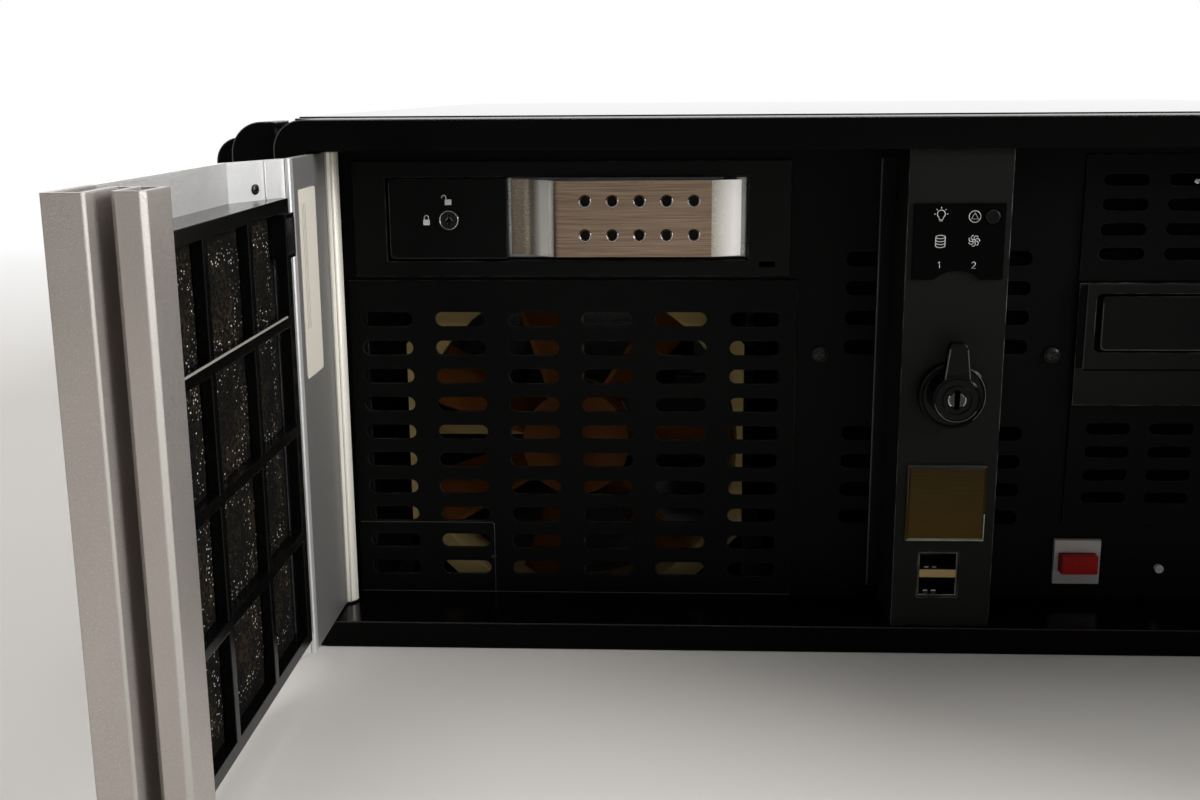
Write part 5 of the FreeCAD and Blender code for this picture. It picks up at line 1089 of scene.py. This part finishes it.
def disc_seams():
    """The disc drive's border drawn as a painted highlight, its parting line, a painted highlight along the
    edge of its fascia, and dark plates in the gaps beside its bezel as painted shade.
    """
    low, high = box("disc_bezel")
    bezel = front_plane("disc_bezel")
    left = low.x + 2.8
    right = high.x - 2.8
    head = high.z - 0.6
    border = [(left, PARTING_Z + 0.3), (left, head), (right, head), (right, PARTING_Z + 0.3)]
    drawing("disc_border", bezel, [border], 0.5, "chassis", "grey_black", SEAM_HIGHLIGHT)
    parting = [(left, PARTING_Z), (right, PARTING_Z)]
    drawing("disc_parting", bezel, [parting], 0.5, "chassis", "grey_black", DARK_GLASS)
    tray_low, tray_high = box("disc_tray")
    flank = tray_low.x + 0.3
    foot = tray_low.z + 0.3
    bend = 1.6
    corner = arc((flank + bend, foot + bend), bend, 180, 270, 6)
    edge = [(flank, foot + 16.0)] + corner + [(tray_high.x - 1.2, foot)]
    drawing("fascia_edge", front_plane("disc_tray"), [edge], 0.36, "disc_slider", "grey_black", EDGE_SHEEN)
    # Dark plates in the gaps as painted shade.
    for name, x in (("left", low.x + 1.4), ("right", high.x - 1.4)):
        gap = moved(bezel, x, 106.5)
        plate("disc_gap_" + name, gap, 2.4, 28.0, 0.3, 0.06, "chassis", "grey_black", DARK_GLASS)


def shade_screens():
    """Black sheets behind the vents of the bay covers and beside the pillar, put there as painted shade, and
    two rivets on the covers.
    """
    low, high = box("bay_covers")
    middle = (low.x + high.x) / 2
    bay = (143.0, 39.0)
    beside = (24.0, 112.0)
    for name, at, size in (
        ("upper", (middle, 9.4, high.z - BAY_HALF), bay), ("lower", (middle, 9.4, low.z + BAY_HALF), bay),
        ("left", (-25.0, 10.5, 80.0), beside), ("right", (25.0, 10.5, 80.0), beside),
    ):
        # Each sheet is painted shade behind the vents.
        plate("shade_screen_" + name, front(*at), *size, 1.0, 0.4, "chassis", "black_plastic", SCREEN)
    rivets = [front(x, low.y, 155.0) for x in (RIVET_X, 2 * middle - RIVET_X)]
    screws("cover_rivets", rivets, 1.0, "chassis", "steel_pin", WIRE)


def fan_corners():
    """Black webs that close the corners of the front fan's frame."""
    low, high = box("front_fan_frame")
    face = front_plane("front_fan_frame")
    spare = 0.2
    for name, x, across in (("left", low.x - spare, 1), ("right", high.x + spare, -1)):
        for level, z, up, leg in (
            ("upper", high.z + spare, -1, UPPER_WEB), ("lower", low.z + spare, 1, LOWER_WEB),
        ):
            web = [(x, z), (x + across * leg, z), (x, z + up * leg)]
            web_name = f"fan_corner_{level}_{name}"
            prism(web_name, face, web, 0.0, 0.4, "chassis", "black_plastic", SCREEN)


# Back

REAR_FAN_X = 42
REAR_FAN_Z = 131
REAR_FAN_HOLE = 35.7
REAR_FAN_RINGS = (9, 16, 23, 30, 36)
REAR_GUARD_Y = 449.4
SUPPLY_GUARD_AT = (177, 449.3, 44.2)
SUPPLY_FAN_RINGS = (7, 13, 19, 25)
PORT_Y = box("motherboard")[1].y
PORT_X = -87.18
PORT_PITCH = 37.32
PORT_FOOT = 9.7
BLOCK_WIDTH = 28.0
TALL_BLOCK = 33.4
LOW_BLOCK = 16.4
BUS_PORT = (12.0, 5.2)
NET_PORT = (15.0, 12.0)
VIDEO_PORT = (19.0, 8.5)
JACK_Z = 17.9
JACK_PITCH = 8.6


def fan_guard(name, at, radii):
    """Wire rings with crossed struts over a fan."""
    reach = radii[-1] + 1.5
    strokes = [arc((0, 0), radius, 0, 360, 40) for radius in radii]
    strokes += [[polar((0, 0), -reach, angle), polar((0, 0), reach, angle)] for angle in (45, 135)]
    drawing(name, rear(*at), strokes, 1.0, "chassis", "steel_pin", WIRE)


def port_mouth(name, x, z, width, height, tongue):
    """A socket mouth drawn as a dark plate of painted shade, with its tongue, on the back of a port block.
    """
    hole = rear(x, PORT_Y + 0.5, z)
    # The mouth is a dark plate of painted shade.
    plate(name + "_mouth", hole, width, height, 0.5, 0.1, "chassis", "socket_black", DARK_GLASS)
    bar = moved(hole, 0, 0.22 * height, 0.1)
    plate(name + "_tongue", bar, width * 0.78, height * 0.3, 0.2, 0.5, "chassis", "socket_black", tongue,
          bevel=0.1)


def ports():
    """Network and serial-bus sockets, a video socket and three sound jacks on the board's port blocks."""
    middles = [PORT_X + PORT_PITCH * number for number in range(4)]
    for number, x in enumerate(middles):
        height = TALL_BLOCK if number % 2 == 0 else LOW_BLOCK
        shell = rear(x, PORT_Y, PORT_FOOT + height / 2)
        plate(f"port_shell_{number}", shell, BLOCK_WIDTH, height, 0.8, 0.5, "chassis", "zinc_steel", WIRE,
              bevel=0.2)
    for number in (0, 2):
        x = middles[number]
        for row in range(2):
            for column in (-1, 1):
                name = f"bus_port_{number}_{row}_{column + 1}"
                port_mouth(name, x + 7 * column, 14.6 + 7.6 * row, *BUS_PORT, SHADES["white_plastic"])
        port_mouth(f"net_port_{number}", x, 34.6, *NET_PORT, CONTACT)
    x = middles[1]
    port_mouth("video_port", x, JACK_Z, *VIDEO_PORT, JACKS[0])
    nuts = [rear(x + across, PORT_Y + 0.5, JACK_Z) for across in (-12, 12)]
    screws("video_nuts", nuts, 1.6, "chassis", "steel_pin", WIRE)
    for number, finish in enumerate(JACKS):
        jack = rear(middles[3] + JACK_PITCH * (number - 1), PORT_Y + 0.5, JACK_Z)
        plate(f"jack_ring_{number}", jack, 7.6, 7.6, 3.8, 0.9, "chassis", "socket_black", finish,
              bevel=0.3)
        # The jack's hole drawn as a dark plate of painted shade.
        hole = moved(jack, 0, 0, 0.9)
        plate(f"jack_hole_{number}", hole, 3.8, 3.8, 1.9, 0.05, "chassis", "socket_black", DARK_GLASS)


# Fasteners

PANEL_SCREW = 2.4
PANEL_SCREW_X = 39.2
PANEL_SCREW_Z = 96.5
PILLAR_SCREW_Y = 1.0
PILLAR_SCREWS_Z = (151, 26.5)
PILLAR_SCREW_SUNK = 1.0
CASE_SCREW = 2.6
REAR_SCREW_SUNK = 1.43
COVER_SCREWS_Y = (110, 260, 410)
COVER_SCREW_DROP = 7


def fasteners():
    """Screw heads that hold the panels, the pillar and what is mounted behind."""
    head_y = box("panel_screws")[0].y + 0.5
    heads = [front(x, head_y, PANEL_SCREW_Z) for x in (-PANEL_SCREW_X, PANEL_SCREW_X)]
    screws("panel_screw_heads", heads, PANEL_SCREW, "chassis", "black_chrome", DARK_SCREW)
    low, high = box("centre_pillar")
    flanks = ((low.x + PILLAR_SCREW_SUNK, -Y_AXIS), (high.x - PILLAR_SCREW_SUNK, Y_AXIS))
    faces = [plane((x, PILLAR_SCREW_Y, z), across) for x, across in flanks for z in PILLAR_SCREWS_Z]
    screws("pillar_screws", faces, PANEL_SCREW, "chassis", "black_chrome")
    spots = []
    for x in (-REAR_FAN_X, REAR_FAN_X):
        corners = (-REAR_FAN_HOLE, REAR_FAN_HOLE)
        spots += [(x + across, REAR_FAN_Z + up) for across in corners for up in corners]
    spots += [(-206, 90), (-206, 30), (206, 110), (206, 165), (-206, 165)]
    back_y = box("rear_panel")[1].y - REAR_SCREW_SUNK
    screws("rear_screws", [rear(x, back_y, z) for x, z in spots], CASE_SCREW, "chassis", "steel_pin")
    low, high = box("top_cover")
    flanks = ((low.x, -Y_AXIS), (high.x, Y_AXIS))
    drop = high.z - COVER_SCREW_DROP
    faces = [plane((x, y, drop), across) for x, across in flanks for y in COVER_SCREWS_Y]
    screws("cover_screws", faces, CASE_SCREW, "chassis", "black_paint")


# Stage, lights and camera

FLOOR_Z = -0.0002
FLOOR_REACH = 40.0
FLOOR_FADE_START = 0.6
FLOOR_FADE_END = 1.5
ROOM_LIGHT = 0.05
WALL_LIGHT = 0.4
ROOM_SHOWN = 0.22
WALL_SHOWN = 1.0
BRIGHT_SIDE = (0.5, 0.866, 0.0)
DARK_SLOPE = -0.9
BRIGHT_SLOPE = 0.3
CAMERA_AT = (-92.88, -459.89, 185.43)
CAMERA_YAW = -2.695
CAMERA_PITCH = 12.674
CAMERA_ROLL = 0.388
CAMERA_LENS = 41.325


def floor_stage():
    """A pale floor that fades to white far from the part."""
    mesh = bpy.data.meshes.new("floor")
    corners = [(x * FLOOR_REACH, y * FLOOR_REACH, 0) for x, y in ((-1, -1), (1, -1), (1, 1), (-1, 1))]
    mesh.from_pydata(corners, [], [(0, 1, 2, 3)])
    floor = bpy.data.objects.new("floor", mesh)
    scene.collection.objects.link(floor)
    floor.location.z = FLOOR_Z
    material, tree, shader = fresh("floor")
    where = spot(tree)
    pale = blend(ramp(grain(where, 2.0)), (0.72, 0.69, 0.65), (0.76, 0.73, 0.69))
    feed(shader, {"Base Color": pale, "Roughness": 0.7})
    away = node(tree, "VectorMath", "Value", {0: where}, operation="LENGTH")
    fade = rise(away, FLOOR_FADE_START, FLOOR_FADE_END)
    far = times(fade, node(tree, "LightPath", "Is Camera Ray", {}))
    white = node(tree, "Emission", "Emission", {})
    both = node(tree, "MixShader", "Shader", {"Fac": far, 1: shader.outputs["BSDF"], 2: white})
    feed(tree.nodes["Material Output"], {"Surface": both})
    mesh.materials.append(material)


def studio():
    """A world that the camera sees as white, and that lights and is mirrored more from its bright side."""
    world = bpy.data.worlds.new("studio")
    scene.world = world
    world.use_nodes = True
    tree = world.node_tree
    rays = tree.nodes.new("ShaderNodeLightPath").outputs
    mirrored = larger(rays["Is Glossy Ray"], rays["Is Transmission Ray"])
    slope = agreement(node(tree, "TexCoord", "Generated", {}), BRIGHT_SIDE)
    levels = []
    for near, far in ((ROOM_LIGHT, WALL_LIGHT), (ROOM_SHOWN, WALL_SHOWN)):
        inputs = {
            "Value": slope, "From Min": DARK_SLOPE, "From Max": BRIGHT_SLOPE, "To Min": near, "To Max": far,
        }
        levels.append(node(tree, "MapRange", "Result", inputs))
    strength = node(tree, "Mix", 0, {"Factor": mirrored, 2: levels[0], 3: levels[1]})
    strength = larger(strength, rays["Is Camera Ray"])
    feed(tree.nodes["Background"], {"Color": (1, 1, 1), "Strength": strength})


def lamp(name, at, target, size, watts):
    """A soft rectangular light aimed at a point."""
    data = bpy.data.lights.new(name, "AREA")
    data.shape = "RECTANGLE"
    data.size = size[0]
    data.size_y = size[1]
    data.energy = watts
    thing = bpy.data.objects.new(name, data)
    scene.collection.objects.link(thing)
    thing.location = at
    aim = Vector(target) - Vector(at)
    thing.rotation_euler = aim.to_track_quat("-Z", "Y").to_euler()


def camera():
    """The photograph's own view, solved from the sizes of the front."""
    yaw = math.radians(CAMERA_YAW)
    pitch = math.radians(CAMERA_PITCH)
    roll = math.radians(CAMERA_ROLL)
    forward = Vector((math.sin(yaw) * math.cos(pitch), math.cos(yaw) * math.cos(pitch), -math.sin(pitch)))
    level = Vector((math.cos(yaw), -math.sin(yaw), 0))
    down = forward.cross(level)
    right = math.cos(roll) * level + math.sin(roll) * down
    up = math.sin(roll) * level - math.cos(roll) * down
    data = bpy.data.cameras.new("camera")
    data.lens = CAMERA_LENS
    data.sensor_width = 36.0
    data.clip_start = 0.01
    thing = bpy.data.objects.new("camera", data)
    scene.collection.objects.link(thing)
    matrix = Matrix((right, up, -forward)).transposed().to_4x4()
    matrix.translation = Vector(CAMERA_AT) * MM
    thing.matrix_world = matrix
    scene.camera = thing


# The whole scene

for side in SIDES:
    foam_pad(side)
door_label()
for side in SIDES:
    door_trim(side)
usb_details()
window_signs()
badge_rim()
latch_details()
tray_lock_details()
handle_details()
lock_signs()
grille_highlights()
rack_edge_highlights()
disc_seams()
shade_screens()
fan_corners()
pillar_lips()
for side in SIDES:
    rib_highlight(side)
for side in SIDES:
    fan_guard("guard_" + side, (-HAND[side] * REAR_FAN_X, REAR_GUARD_Y, REAR_FAN_Z), REAR_FAN_RINGS)
fan_guard("guard_supply", SUPPLY_GUARD_AT, SUPPLY_FAN_RINGS)
ports()
fasteners()

floor_stage()
studio()
lamp("key_right", (3.15, -0.9, 1.32), (-0.15, -0.1, 0.08), (1.8, 1.6), 150)
lamp("overhead", (-0.2, 0.5, 1.6), (-0.05, 0.1, 0.1), (1.6, 1.0), 14)
lamp("left_window", (-1.5, -0.4, 0.9), (-0.1, -0.05, 0.1), (1.0, 1.0), 4)
camera()
scene.view_settings.view_transform = "Standard"
